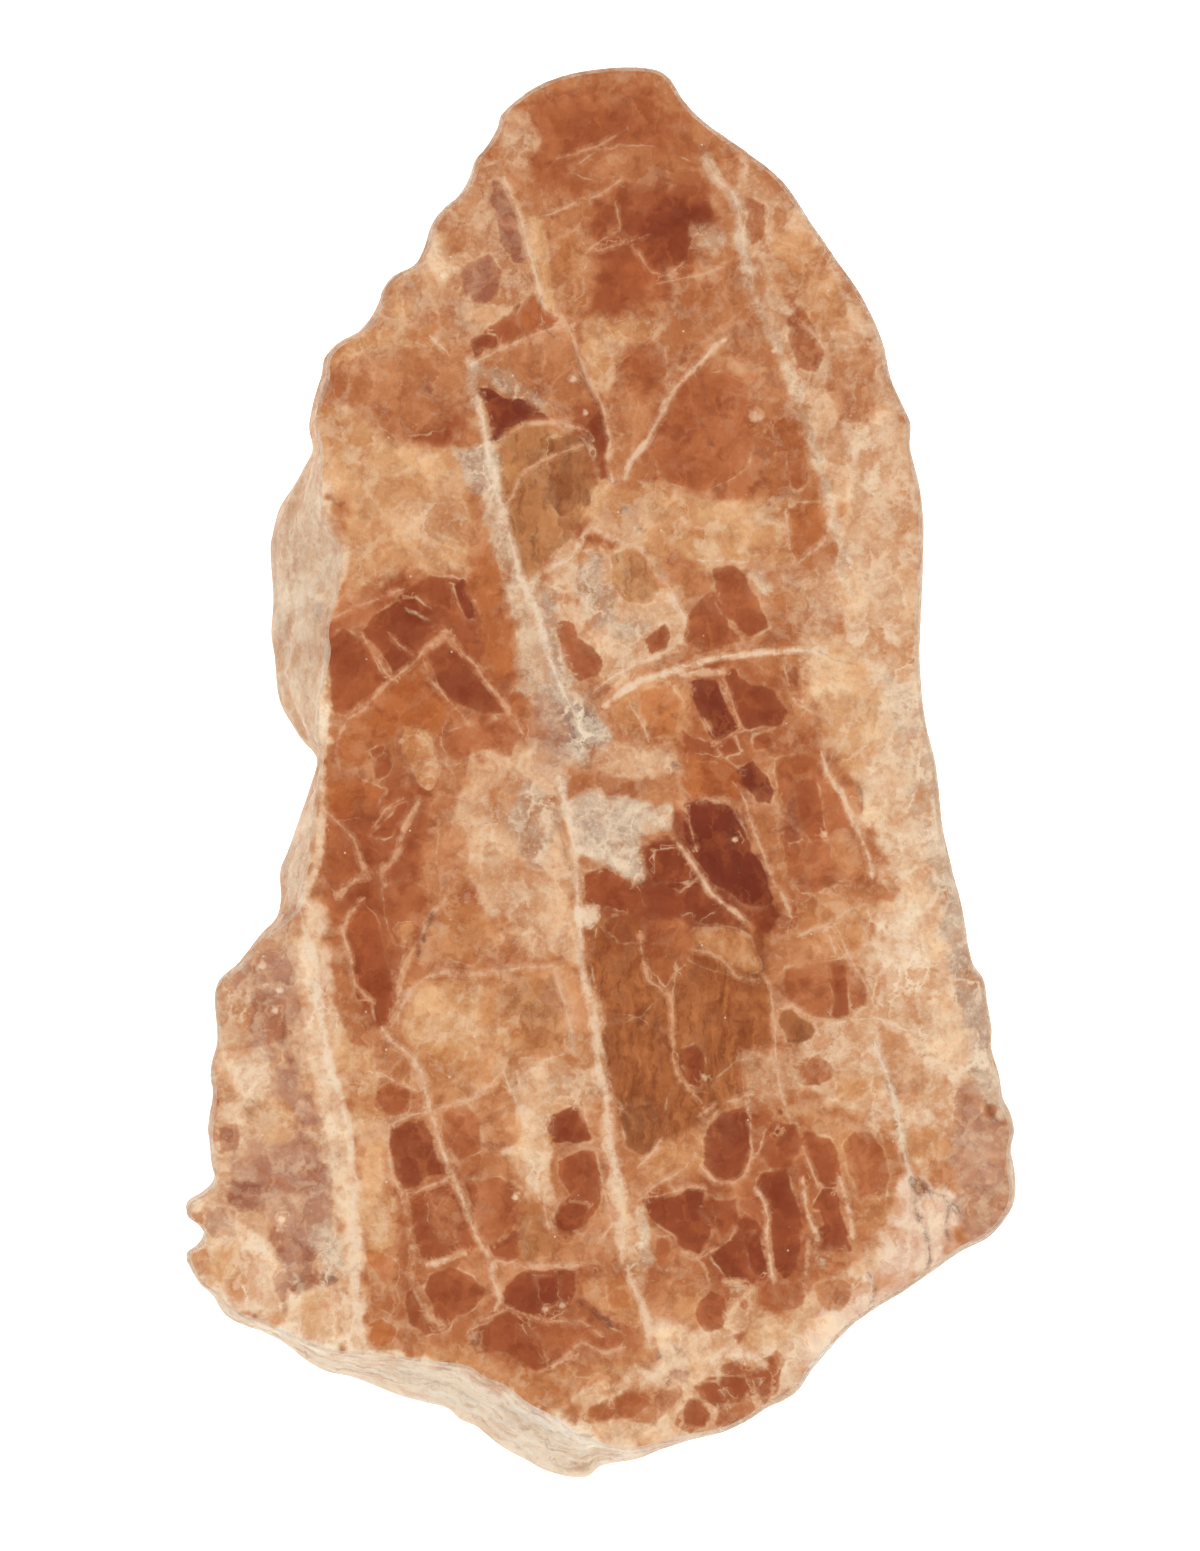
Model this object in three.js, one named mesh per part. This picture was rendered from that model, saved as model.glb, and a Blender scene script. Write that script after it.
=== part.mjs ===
// Hessonite slice
//
// A polished slice of hessonite, the orange-brown garnet, sawn from a rough lump. Millimetres, +Z up.
// The slice lies on its sawn back with the polished face up. +Y points to its narrow end.
// It is one natural stone, so it is one closed solid: two flat caps and the rough wall between them.
import * as THREE from "three";

// Sizes
const LENGTH = 75;
const THICKNESS = 8;
const WIDEST_HEIGHT = 2.6;
const ARRIS_DROP = 0.3;
const ARRIS_INSET = 0.22;
const BACK_ARRIS_DROP = 0.45;
const BACK_ARRIS_INSET = 0.4;
const UNDERCUT = 0.5;
const WALL_RELIEF = 0.16;

// Stations around the wall, and how many of them a wall normal is averaged over on each side
const STATIONS = 250;
const NORMAL_REACH = 7;

// The stone's colour on its polished face
const GARNET = 0xb4653c;
const FACE_ROUGHNESS = 0.3;

// The outline as traced clockwise over a picture of the real slice, in the picture's own pixels.
// Each point is x, y and the ledge: how far the polished face stops short of the widest line there.
// The ledge is wide where the wall flares out, on the left shoulder and along the lower left.
const TRACE_TOP = 68;
const TRACE_BOTTOM = 1478;
const NARROW_END = [
  [501, 115, 4], [524, 95, 4], [546, 83, 4], [574, 74, 4], [611, 69, 4], [645, 69, 4], [662, 73, 4],
  [671, 80, 4], [684, 100, 4], [699, 117, 4], [724, 137, 4], [750, 155, 4], [775, 174, 4],
];
const RIGHT_SIDE = [
  [790, 191, 4], [812, 225, 4], [838, 261, 4], [861, 294, 4], [882, 338, 4], [892, 380, 4], [906, 411, 4],
  [911, 423, 4], [911, 447, 4], [920, 485, 4], [924, 520, 4], [924, 550, 4], [922, 600, 4], [920, 640, 4],
  [922, 685, 4], [928, 729, 4], [936, 762, 4], [943, 826, 4], [952, 867, 4], [961, 903, 4], [969, 944, 4],
  [975, 966, 4], [984, 978, 4], [988, 1002, 4], [992, 1030, 4], [991, 1045, 4], [999, 1075, 4],
  [1003, 1098, 4], [1010, 1112, 4], [1014, 1130, 4], [1011, 1148, 4],
];
const GROUND_CORNER = [
  [1014, 1165, 6], [1016, 1188, 6], [1014, 1203, 6], [1005, 1220, 6], [988, 1238, 6], [962, 1251, 5],
  [925, 1277, 5], [900, 1294, 5], [875, 1309, 5], [850, 1327, 5], [832, 1346, 5], [815, 1366, 5],
  [800, 1388, 5], [790, 1397, 5], [765, 1409, 5], [750, 1419, 5],
];
const LOWER_LEFT_WALL = [
  [725, 1432, 6], [690, 1441, 8], [662, 1450, 10], [640, 1459, 14], [612, 1464, 22], [600, 1467, 30],
  [588, 1477, 40], [572, 1478, 48], [545, 1471, 52], [525, 1460, 53], [500, 1446, 52], [475, 1426, 51],
  [460, 1420, 50], [448, 1409, 48], [425, 1403, 45], [400, 1396, 41], [375, 1386, 34], [350, 1377, 28],
  [325, 1371, 24], [305, 1360, 20], [287, 1346, 14], [262, 1332, 12], [240, 1324, 12], [222, 1312, 11],
];
const LEFT_LOBE = [
  [212, 1296, 8], [198, 1282, 6], [187, 1262, 5], [186, 1253, 5], [197, 1244, 5], [203, 1232, 4],
  [198, 1221, 4], [186, 1211, 4], [187, 1201, 4], [202, 1191, 4], [213, 1178, 4], [210, 1156, 4],
  [208, 1130, 4], [212, 1093, 4], [210, 1068, 4], [216, 1041, 4], [214, 992, 4], [220, 978, 4],
  [239, 961, 4], [262, 932, 5], [276, 917, 10],
];
const LEFT_SHOULDER = [
  [280, 900, 20], [280, 870, 25], [287, 852, 23], [299, 817, 16], [310, 785, 8], [317, 760, 5],
  [313, 752, 8], [303, 742, 16], [293, 727, 28], [279, 700, 46], [274, 656, 55], [271, 635, 56],
  [273, 600, 62], [270, 558, 71], [270, 546, 71], [274, 525, 64], [280, 506, 50], [292, 487, 32],
  [302, 470, 20], [312, 448, 10], [309, 428, 8],
];
const UPPER_LEFT = [
  [313, 402, 8], [317, 388, 8], [321, 375, 8], [324, 358, 6], [335, 345, 5], [357, 332, 5], [371, 316, 5],
  [379, 300, 5], [382, 290, 5], [393, 276, 5], [415, 264, 5], [424, 248, 5], [431, 225, 5], [441, 211, 5],
  [457, 197, 5], [469, 178, 5], [475, 160, 4], [485, 148, 4], [497, 128, 4],
];
const OUTLINE = [
  ...NARROW_END, ...RIGHT_SIDE, ...GROUND_CORNER, ...LOWER_LEFT_WALL, ...LEFT_LOBE, ...LEFT_SHOULDER,
  ...UPPER_LEFT,
];

// The widest line in millimetres, counterclockwise seen from above, with the ledge as third coordinate.
// It is centred on the middle of its own box and scaled so that it is exactly LENGTH long.
function traceRim() {
  const scale = LENGTH / (TRACE_BOTTOM - TRACE_TOP);
  const knots = OUTLINE.map(([x, y, ledge]) => new THREE.Vector3(x * scale, -y * scale, ledge * scale));
  const curve = new THREE.CatmullRomCurve3(knots.reverse(), true, "centripetal");
  const stations = curve.getSpacedPoints(STATIONS).slice(0, STATIONS);
  const box = new THREE.Box3().setFromPoints(stations);
  const middle = box.getCenter(new THREE.Vector3());
  const fit = LENGTH / (box.max.y - box.min.y);
  return stations.map((p) => new THREE.Vector3((p.x - middle.x) * fit, (p.y - middle.y) * fit, p.z));
}

// Unit normals that point into the stone, averaged over a few stations so that a deep ledge stays smooth
function inwardNormals(rim) {
  return rim.map((_, i) => {
    const ahead = rim[(i + NORMAL_REACH) % STATIONS];
    const behind = rim[(i - NORMAL_REACH + STATIONS) % STATIONS];
    return new THREE.Vector2(behind.y - ahead.y, ahead.x - behind.x).normalize();
  });
}

// The wall's levels from the back up: height, the share of the ledge taken off there, a plain inset,
// and how much of the broken relief shows
const LEVELS = [
  { height: 0, ledgeShare: 0, inset: UNDERCUT + BACK_ARRIS_INSET, relief: 0 },
  { height: BACK_ARRIS_DROP, ledgeShare: 0, inset: UNDERCUT, relief: 0.5 },
  { height: WIDEST_HEIGHT * 0.55, ledgeShare: 0, inset: UNDERCUT * 0.35, relief: 1 },
  { height: WIDEST_HEIGHT, ledgeShare: 0, inset: 0, relief: 0 },
  { height: THICKNESS * 0.56, ledgeShare: 0.22, inset: 0, relief: 1 },
  { height: THICKNESS * 0.78, ledgeShare: 0.6, inset: 0, relief: 1 },
  { height: THICKNESS - ARRIS_DROP, ledgeShare: 1, inset: 0, relief: 0 },
  { height: THICKNESS, ledgeShare: 1, inset: ARRIS_INSET, relief: 0 },
];

// Broken, rippled stone: how far the wall is dented inwards, from 0 to WALL_RELIEF
function dent(station, height) {
  const turn = (station / STATIONS) * 2 * Math.PI;
  const ripple = Math.sin(37 * turn + 1.7 * height) + Math.sin(61 * turn - 2.3 * height + 1.1);
  return WALL_RELIEF * (0.5 + 0.25 * ripple);
}

// One ring of vertices around the wall at a level
function ring(level, rim, normals) {
  return rim.map((point, i) => {
    const inset = point.z * level.ledgeShare + level.inset + level.relief * dent(i, level.height);
    const x = point.x + normals[i].x * inset;
    const y = point.y + normals[i].y * inset;
    return new THREE.Vector3(x, y, level.height);
  });
}

function sliceGeometry() {
  const rim = traceRim();
  const normals = inwardNormals(rim);
  const rings = LEVELS.map((level) => ring(level, rim, normals));
  const triangles = [];
  for (let level = 0; level < rings.length - 1; level += 1) {
    for (let i = 0; i < STATIONS; i += 1) {
      const next = (i + 1) % STATIONS;
      const below = level * STATIONS;
      const above = below + STATIONS;
      triangles.push(below + i, below + next, above + next);
      triangles.push(below + i, above + next, above + i);
    }
  }
  const face = rings.at(-1);
  const back = rings[0];
  const faceStart = (rings.length - 1) * STATIONS;
  for (const [a, b, c] of THREE.ShapeUtils.triangulateShape(face, [])) {
    triangles.push(faceStart + a, faceStart + b, faceStart + c);
  }
  for (const [a, b, c] of THREE.ShapeUtils.triangulateShape(back, [])) {
    triangles.push(c, b, a);
  }
  const geometry = new THREE.BufferGeometry().setFromPoints(rings.flat());
  geometry.setIndex(triangles);
  return geometry;
}

const stone = new THREE.MeshStandardMaterial({ color: GARNET, roughness: FACE_ROUGHNESS, metalness: 0 });
const slice = new THREE.Mesh(sliceGeometry(), stone);
slice.name = "hessonite_slice";

const group = new THREE.Group();
group.add(slice);

export default group;
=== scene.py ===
# %% [markdown]
# # A polished slice of hessonite
# Hessonite is the orange-brown garnet. This slice was sawn from a rough lump and polished on one face. It
# shows red-brown windows of clear garnet, split by cream and grey veins, inside a rough natural rind. It lies
# on its sawn back and the camera looks straight down on it. The mesh fills the slice's box from the frame.

# %% Load the frame
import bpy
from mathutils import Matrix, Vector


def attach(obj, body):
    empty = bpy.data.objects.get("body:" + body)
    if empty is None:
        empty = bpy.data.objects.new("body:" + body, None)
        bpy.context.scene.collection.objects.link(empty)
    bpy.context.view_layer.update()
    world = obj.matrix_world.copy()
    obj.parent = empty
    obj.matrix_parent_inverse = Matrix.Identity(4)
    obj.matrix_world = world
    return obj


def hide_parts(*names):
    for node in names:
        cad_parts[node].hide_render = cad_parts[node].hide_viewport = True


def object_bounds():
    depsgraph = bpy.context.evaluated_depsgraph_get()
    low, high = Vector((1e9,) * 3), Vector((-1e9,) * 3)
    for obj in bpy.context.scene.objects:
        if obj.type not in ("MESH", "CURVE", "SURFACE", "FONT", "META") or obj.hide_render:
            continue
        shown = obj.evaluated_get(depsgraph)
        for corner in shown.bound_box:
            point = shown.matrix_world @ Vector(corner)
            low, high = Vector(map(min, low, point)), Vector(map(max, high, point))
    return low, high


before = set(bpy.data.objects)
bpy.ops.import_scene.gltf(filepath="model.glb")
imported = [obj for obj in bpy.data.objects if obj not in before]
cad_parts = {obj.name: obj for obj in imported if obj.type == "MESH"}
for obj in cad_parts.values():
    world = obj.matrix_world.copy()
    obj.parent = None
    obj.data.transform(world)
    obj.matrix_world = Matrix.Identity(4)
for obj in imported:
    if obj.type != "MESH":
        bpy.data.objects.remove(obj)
cad_box = [list(corner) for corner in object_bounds()]

import math
from types import SimpleNamespace

import bpy
import numpy as np
from mathutils import Vector
from mathutils.geometry import delaunay_2d_cdt

print("the slice's box in mm:", [[round(1000 * c, 2) for c in corner] for corner in cad_box])

# %% [markdown]
# ## From the picture to the stone
# Every place on the slice was read off one picture of it, taken from straight above. One driving size, the
# length, turns its pixels into millimetres. The picture's axis stands over its middle. What lies nearer to
# the camera looks a little larger, so the height of a point counts. The scale is exact at the widest line.

# %% Sizes
LENGTH = 1000 * (cad_box[1][1] - cad_box[0][1])
THICKNESS = 1000 * (cad_box[1][2] - cad_box[0][2])
WIDEST_HEIGHT = 2.6
PICTURE_WIDTH, PICTURE_HEIGHT = 1200, 1551
TRACE_TOP, TRACE_BOTTOM = 68, 1478
MM_PER_PIXEL = LENGTH / (TRACE_BOTTOM - TRACE_TOP)
LENS, SENSOR = 300.0, 36.0
CAMERA_HEIGHT = PICTURE_HEIGHT * MM_PER_PIXEL * LENS / SENSOR + WIDEST_HEIGHT
print(f"one pixel is {MM_PER_PIXEL:.4f} mm and the camera stands {CAMERA_HEIGHT:.0f} mm up")

# %% [markdown]
# ## The outline
# The widest line round the stone is a smooth curve through points traced clockwise. Each point also says how
# far the polished face stops short of that line. This ledge is wide where the rough wall flares out below the
# face: on the left shoulder and along the lower left. The curve is a closed centripetal Catmull-Rom spline,
# which keeps the small knobs and notches without overshooting.

# %% Traced points: x, y and the ledge, in pixels
NARROW_END = [
    (501, 115, 4), (524, 95, 4), (546, 83, 4), (574, 74, 4), (611, 69, 4), (645, 69, 4), (662, 73, 4),
    (671, 80, 4), (684, 100, 4), (699, 117, 4), (724, 137, 4), (750, 155, 4), (775, 174, 4),
]
RIGHT_SIDE = [
    (790, 191, 4), (812, 225, 4), (838, 261, 4), (861, 294, 4), (882, 338, 4), (892, 380, 4), (906, 411, 4),
    (911, 423, 4), (911, 447, 4), (920, 485, 4), (924, 520, 4), (924, 550, 4), (922, 600, 4), (920, 640, 4),
    (922, 685, 4), (928, 729, 4), (936, 762, 4), (943, 826, 4), (952, 867, 4), (961, 903, 4), (969, 944, 4),
    (975, 966, 4), (984, 978, 4), (988, 1002, 4), (992, 1030, 4), (991, 1045, 4), (999, 1075, 4),
    (1003, 1098, 4), (1010, 1112, 4), (1014, 1130, 4), (1011, 1148, 4),
]
GROUND_CORNER = [
    (1014, 1165, 6), (1016, 1188, 6), (1014, 1203, 6), (1005, 1220, 6), (988, 1238, 6), (962, 1251, 5),
    (925, 1277, 5), (900, 1294, 5), (875, 1309, 5), (850, 1327, 5), (832, 1346, 5), (815, 1366, 5),
    (800, 1388, 5), (790, 1397, 5), (765, 1409, 5), (750, 1419, 5),
]
LOWER_LEFT_WALL = [
    (725, 1432, 6), (690, 1441, 8), (662, 1450, 10), (640, 1459, 14), (612, 1464, 22), (600, 1467, 30),
    (588, 1477, 40), (572, 1478, 48), (545, 1471, 52), (525, 1460, 53), (500, 1446, 52), (475, 1426, 51),
    (460, 1420, 50), (448, 1409, 48), (425, 1403, 45), (400, 1396, 41), (375, 1386, 34), (350, 1377, 28),
    (325, 1371, 24), (305, 1360, 20), (287, 1346, 14), (262, 1332, 12), (240, 1324, 12), (222, 1312, 11),
]
LEFT_LOBE = [
    (212, 1296, 8), (198, 1282, 6), (187, 1262, 5), (186, 1253, 5), (197, 1244, 5), (203, 1232, 4),
    (198, 1221, 4), (186, 1211, 4), (187, 1201, 4), (202, 1191, 4), (213, 1178, 4), (210, 1156, 4),
    (208, 1130, 4), (212, 1093, 4), (210, 1068, 4), (216, 1041, 4), (214, 992, 4), (220, 978, 4),
    (239, 961, 4), (262, 932, 5), (276, 917, 10),
]
LEFT_SHOULDER = [
    (280, 900, 20), (280, 870, 25), (287, 852, 23), (299, 817, 16), (310, 785, 8), (317, 760, 5),
    (313, 752, 8), (303, 742, 16), (293, 727, 28), (279, 700, 46), (274, 656, 55), (271, 635, 56),
    (273, 600, 62), (270, 558, 71), (270, 546, 71), (274, 525, 64), (280, 506, 50), (292, 487, 32),
    (302, 470, 20), (312, 448, 10), (309, 428, 8),
]
UPPER_LEFT = [
    (313, 402, 8), (317, 388, 8), (321, 375, 8), (324, 358, 6), (335, 345, 5), (357, 332, 5), (371, 316, 5),
    (379, 300, 5), (382, 290, 5), (393, 276, 5), (415, 264, 5), (424, 248, 5), (431, 225, 5), (441, 211, 5),
    (457, 197, 5), (469, 178, 5), (475, 160, 4), (485, 148, 4), (497, 128, 4),
]
OUTLINE = np.array(
    NARROW_END + RIGHT_SIDE + GROUND_CORNER + LOWER_LEFT_WALL + LEFT_LOBE + LEFT_SHOULDER + UPPER_LEFT, float
)
print(len(OUTLINE), "traced points")

# %% The widest line at even stations
STATIONS = 1000
START_SPOT = (187, 1262)
CURVE_STEPS = 24


def closed_curve(knots, steps):
    """Centripetal Catmull-Rom: each stretch between two knots is blended from its four nearest knots, pair by
    pair, with a parameter that grows by the square root of the distance between knots."""
    before, start, end, after = (np.roll(knots, shift, axis=0) for shift in (1, 0, -1, -2))

    def gap(p, q):
        """Square root of the distance between two knots."""
        return np.sqrt(np.linalg.norm(q - p, axis=1))[:, None, None]

    t1 = gap(before, start)
    t2 = t1 + gap(start, end)
    t3 = t2 + gap(end, after)
    t = t1 + (t2 - t1) * (np.arange(steps) / steps)[None, :, None]
    p0, p1, p2, p3 = (k[:, None, :] for k in (before, start, end, after))
    a1 = ((t1 - t) * p0 + t * p1) / t1
    a2 = ((t2 - t) * p1 + (t - t1) * p2) / (t2 - t1)
    a3 = ((t3 - t) * p2 + (t - t2) * p3) / (t3 - t2)
    b1 = ((t2 - t) * a1 + t * a2) / t2
    b2 = ((t3 - t) * a2 + (t - t1) * a3) / (t3 - t1)
    return (((t2 - t) * b1 + (t - t1) * b2) / (t2 - t1)).reshape(-1, knots.shape[1])


def evenly(points, count):
    """Points at equal steps of length along an open line, the first one included and the last left out."""
    run = np.r_[0, np.cumsum(np.linalg.norm(np.diff(points[:, :2], axis=0), axis=1))]
    wanted = np.arange(count) / count * run[-1]
    return np.stack([np.interp(wanted, run, column) for column in points.T], axis=1)


knots_mm = OUTLINE[::-1] * np.array([1, -1, 1]) * MM_PER_PIXEL
curve = closed_curve(knots_mm, CURVE_STEPS)
low, high = curve[:, :2].min(0), curve[:, :2].max(0)
ORIGIN_MM = (low + high) / 2
curve[:, :2] = (curve[:, :2] - ORIGIN_MM) * LENGTH / (high[1] - low[1])
start_mm = np.array(START_SPOT) * [1, -1] * MM_PER_PIXEL - ORIGIN_MM
curve = np.roll(curve, -int(np.argmin(np.linalg.norm(curve[:, :2] - start_mm, axis=1))), axis=0)
widest = evenly(np.vstack([curve, curve[:1]]), STATIONS)
rim, ledge = widest[:, :2], widest[:, 2]
print(f"{STATIONS} stations round the stone, {np.ptp(rim[:, 0]):.2f} by {np.ptp(rim[:, 1]):.2f} mm")

# %% [markdown]
# ## Broken stone, in numbers
# A natural break is never smooth: it has scoops, facets and grit at every size. It could be sculpted or
# displaced with a texture, but two functions do it in plain numbers. The first adds up many plane waves, long
# ones strong and short ones weak. The second scatters one point in each cell of a cubic lattice and returns
# the distance to the nearest, which gives the shell-like scoops that a brittle stone breaks into.

# %% Waves and scoops
WAVE_RANGE = 6.0
CELL_PRIMES = np.array([73856093, 19349663, 83492791])
SEED_STEP = 2654435
SCATTER_FACTORS = (0.731, 1.317, 2.113)
SCATTER_STRETCH = 43758.5453


def waves(points, size, seed, count=40):
    """Sum of sines along random directions. Wavelengths run from size down to a sixth of it, and each wave is
    as strong as it is long. The result has a spread of about 1."""
    rng = np.random.default_rng(seed)
    direction = rng.normal(size=(count, points.shape[1]))
    direction /= np.linalg.norm(direction, axis=1, keepdims=True)
    length = size * WAVE_RANGE ** -rng.random(count)
    phase = rng.random(count) * 2 * np.pi
    total = np.zeros(len(points))
    for d, wavelength, start in zip(direction, length, phase):
        total += wavelength * np.sin(points @ d * 2 * np.pi / wavelength + start)
    return total / np.sqrt((length ** 2).sum() / 2)


def scoops(points, size, seed):
    """Distance to the nearest of one scattered point per lattice cell, in cell sizes: 0 at a point, about 1
    far from all of them."""
    cell = points / size
    home = np.floor(cell).astype(np.int64)
    nearest = np.full(len(points), np.inf)
    for step in np.stack(np.meshgrid([-1, 0, 1], [-1, 0, 1], [-1, 0, 1]), -1).reshape(-1, 3):
        there = home + step
        key = there @ CELL_PRIMES + seed * SEED_STEP
        scatter = np.stack([np.sin(key * k) * SCATTER_STRETCH % 1.0 for k in SCATTER_FACTORS], axis=1)
        nearest = np.minimum(nearest, np.linalg.norm(there + scatter - cell, axis=1))
    return nearest


# %% [markdown]
# ## The slice as one closed skin
# The skin has three parts that share their border points. The wall is a profile carried round the outline.
# The face and the back are flat, so each is a lattice of points in rows, every other row shifted by half a
# step. A Delaunay triangulation joins it to its border and keeps the triangles even up to the notches.

# %% Distance to traced lines
def to_line(spots, line):
    """Distance of each spot to an open line of points, and the side it lies on: the sign of the cross product
    with the nearest stretch."""
    start, end = line[:-1], line[1:]
    along = end - start
    offset = spots[:, None] - start[None]
    share = np.clip((offset * along).sum(-1) / (along ** 2).sum(-1), 0, 1)
    distance = np.linalg.norm(offset - share[..., None] * along, axis=-1)
    nearest = distance.argmin(1)
    rows = np.arange(len(spots))
    cross = along[nearest, 0] * offset[rows, nearest, 1] - along[nearest, 1] * offset[rows, nearest, 0]
    return distance[rows, nearest], np.where(cross < 0, -1.0, 1.0)


def is_inside(spots, corners):
    """Whether each spot is inside a closed outline: a ray from it then crosses an odd number of edges."""
    loop = np.vstack([corners, corners[:1]])
    x, y = spots[:, :1], spots[:, 1:]
    x0, y0, x1, y1 = loop[:-1, 0], loop[:-1, 1], loop[1:, 0], loop[1:, 1]
    spans = (y0 > y) != (y1 > y)
    crossing = x < x0 + (y - y0) * (x1 - x0) / np.where(y1 == y0, 1.0, y1 - y0)
    return (spans & crossing).sum(1) % 2 == 1


def reach_inside(spots, corners):
    """Signed distance to a closed outline, positive inside."""
    distance, _ = to_line(spots, np.vstack([corners, corners[:1]]))
    return np.where(is_inside(spots, corners), distance, -distance)


# %% The wall's profile
REACH = 12
inward = np.stack([
    -(np.roll(rim[:, 1], -REACH) - np.roll(rim[:, 1], REACH)),
    np.roll(rim[:, 0], -REACH) - np.roll(rim[:, 0], REACH),
], axis=1)
inward /= np.linalg.norm(inward, axis=1, keepdims=True)

# height as a share of the thickness, share of the ledge taken, plain inset in mm, share of the broken relief
PROFILE = [
    (1.0, 1.0, 0.22, 0.0), (0.993, 1.0, 0.10, 0.0), (0.978, 1.0, 0.02, 0.0), (0.955, 0.97, 0.0, 0.15),
    (0.92, 0.90, 0.0, 0.5), (0.88, 0.80, 0.0, 0.8), (0.83, 0.70, 0.0, 1.0), (0.78, 0.60, 0.0, 1.0),
    (0.73, 0.50, 0.0, 1.0), (0.68, 0.41, 0.0, 1.0), (0.63, 0.32, 0.0, 1.0), (0.58, 0.24, 0.0, 1.0),
    (0.53, 0.17, 0.0, 1.0), (0.48, 0.11, 0.0, 0.9), (0.43, 0.06, 0.0, 0.7), (0.38, 0.02, 0.0, 0.4),
    (0.325, 0.0, 0.0, 0.1), (0.27, 0.0, 0.04, 0.6), (0.21, 0.0, 0.13, 0.9), (0.15, 0.0, 0.26, 1.0),
    (0.10, 0.0, 0.38, 0.8), (0.055, 0.0, 0.5, 0.5), (0.02, 0.0, 0.66, 0.2), (0.0, 0.0, 0.9, 0.0),
]
profile = np.array(PROFILE)
height = THICKNESS * profile[:, 0]
inset = ledge[None, :] * profile[:, 1:2] + profile[:, 2:3]
wall = np.empty((len(profile), STATIONS, 3))
wall[..., :2] = rim[None] + inward[None] * inset[..., None]
wall[..., 2] = height[:, None]

# %% Break the wall
LAMINA_DEPTH, CHIP_DEPTH, GRIT_DEPTH = 0.10, 0.34, 0.035
LAMINA_SIZE, CHIP_SIZE, FLAKE_SIZE, GRIT_SIZE = 3.2, 2.3, 0.9, 1.0
LAMINA_SQUEEZE = np.array([0.25, 0.25, 2.2])
DEEPEST_BREAK = 0.6
# ground smooth within 0.35 of this reach of the spot, and less and less up to 1.35 of it
GROUND_SPOT, GROUND_REACH, GROUND_SMOOTHNESS = (890, 1302), 10.5, 0.8
flat_wall = wall.reshape(-1, 3)
laminae = waves(flat_wall * LAMINA_SQUEEZE, LAMINA_SIZE, seed=5)
chips = scoops(flat_wall, CHIP_SIZE, seed=3) * 0.8 + scoops(flat_wall, FLAKE_SIZE, seed=8) * 0.3
grit = waves(flat_wall, GRIT_SIZE, seed=11)
depth = LAMINA_DEPTH * (laminae + 1.2) + CHIP_DEPTH * (chips - 0.25) + GRIT_DEPTH * grit
ground_mm = np.array(GROUND_SPOT) * [1, -1] * MM_PER_PIXEL - ORIGIN_MM
ground = np.clip(1.35 - np.linalg.norm(rim - ground_mm, axis=1) / GROUND_REACH, 0, 1)
relief = np.clip(depth, 0, DEEPEST_BREAK).reshape(len(profile), STATIONS) * profile[:, 3:4]
relief = relief * (1 - GROUND_SMOOTHNESS * ground)
wall[..., :2] += inward[None] * relief[..., None]
print(f"the wall is broken up to {relief.max():.2f} mm deep, {len(profile)} levels high")

# %% Flat nets for the face and the back
FACE_STEP, BACK_STEP = 0.2, 0.6
SPOT_BLOCKS = 60
MERGE_WITHIN = 1e-7


def flat_net(border, step):
    """Lattice points at least half a step inside a border, and the triangles between them and the border."""
    low_corner, high_corner = border.min(0), border.max(0)
    rows = np.arange(low_corner[1], high_corner[1], step * math.sqrt(0.75))
    columns = np.arange(low_corner[0], high_corner[0], step)
    x = columns[None, :] + step / 2 * (np.arange(len(rows)) % 2)[:, None]
    spots = np.stack([x, np.broadcast_to(rows[:, None], x.shape)], axis=-1).reshape(-1, 2)
    inset_border = border + inward * step / 2
    inner = np.vstack([block[is_inside(block, inset_border)] for block in np.array_split(spots, SPOT_BLOCKS)])
    corners = [Vector(spot) for spot in np.vstack([border, inner])]
    found = delaunay_2d_cdt(corners, [], [list(range(STATIONS))], 0, MERGE_WITHIN, True)
    source = np.array([ids[0] for ids in found[3]])
    triangles = source[np.array([list(f) for f in found[2]])]
    on_border = np.flatnonzero((triangles < STATIONS).all(1))
    middles = border[triangles[on_border]].mean(1)
    return inner, np.delete(triangles, on_border[~is_inside(middles, border)], axis=0)


face_inner, face_triangles = flat_net(wall[0, :, :2], FACE_STEP)
back_inner, back_triangles = flat_net(wall[-1, :, :2], BACK_STEP)
print(len(face_triangles), "triangles on the face,", len(back_triangles), "on the back")

# %% Join wall, face and back
levels = len(profile)
points_mm = np.vstack([
    wall.reshape(-1, 3),
    np.c_[face_inner, np.full(len(face_inner), THICKNESS)],
    np.c_[back_inner, np.zeros(len(back_inner))],
])
rings = np.arange(levels * STATIONS).reshape(levels, STATIONS)
following = np.roll(rings, -1, axis=1)
wall_quads = np.stack([rings[:-1], rings[1:], following[1:], following[:-1]], axis=-1).reshape(-1, 4)
wall_points = levels * STATIONS
face_ids = np.r_[rings[0], wall_points + np.arange(len(face_inner))]
back_ids = np.r_[rings[-1], wall_points + len(face_inner) + np.arange(len(back_inner))]
face_corners = face_ids[face_triangles]
back_corners = back_ids[back_triangles][:, ::-1]

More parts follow.
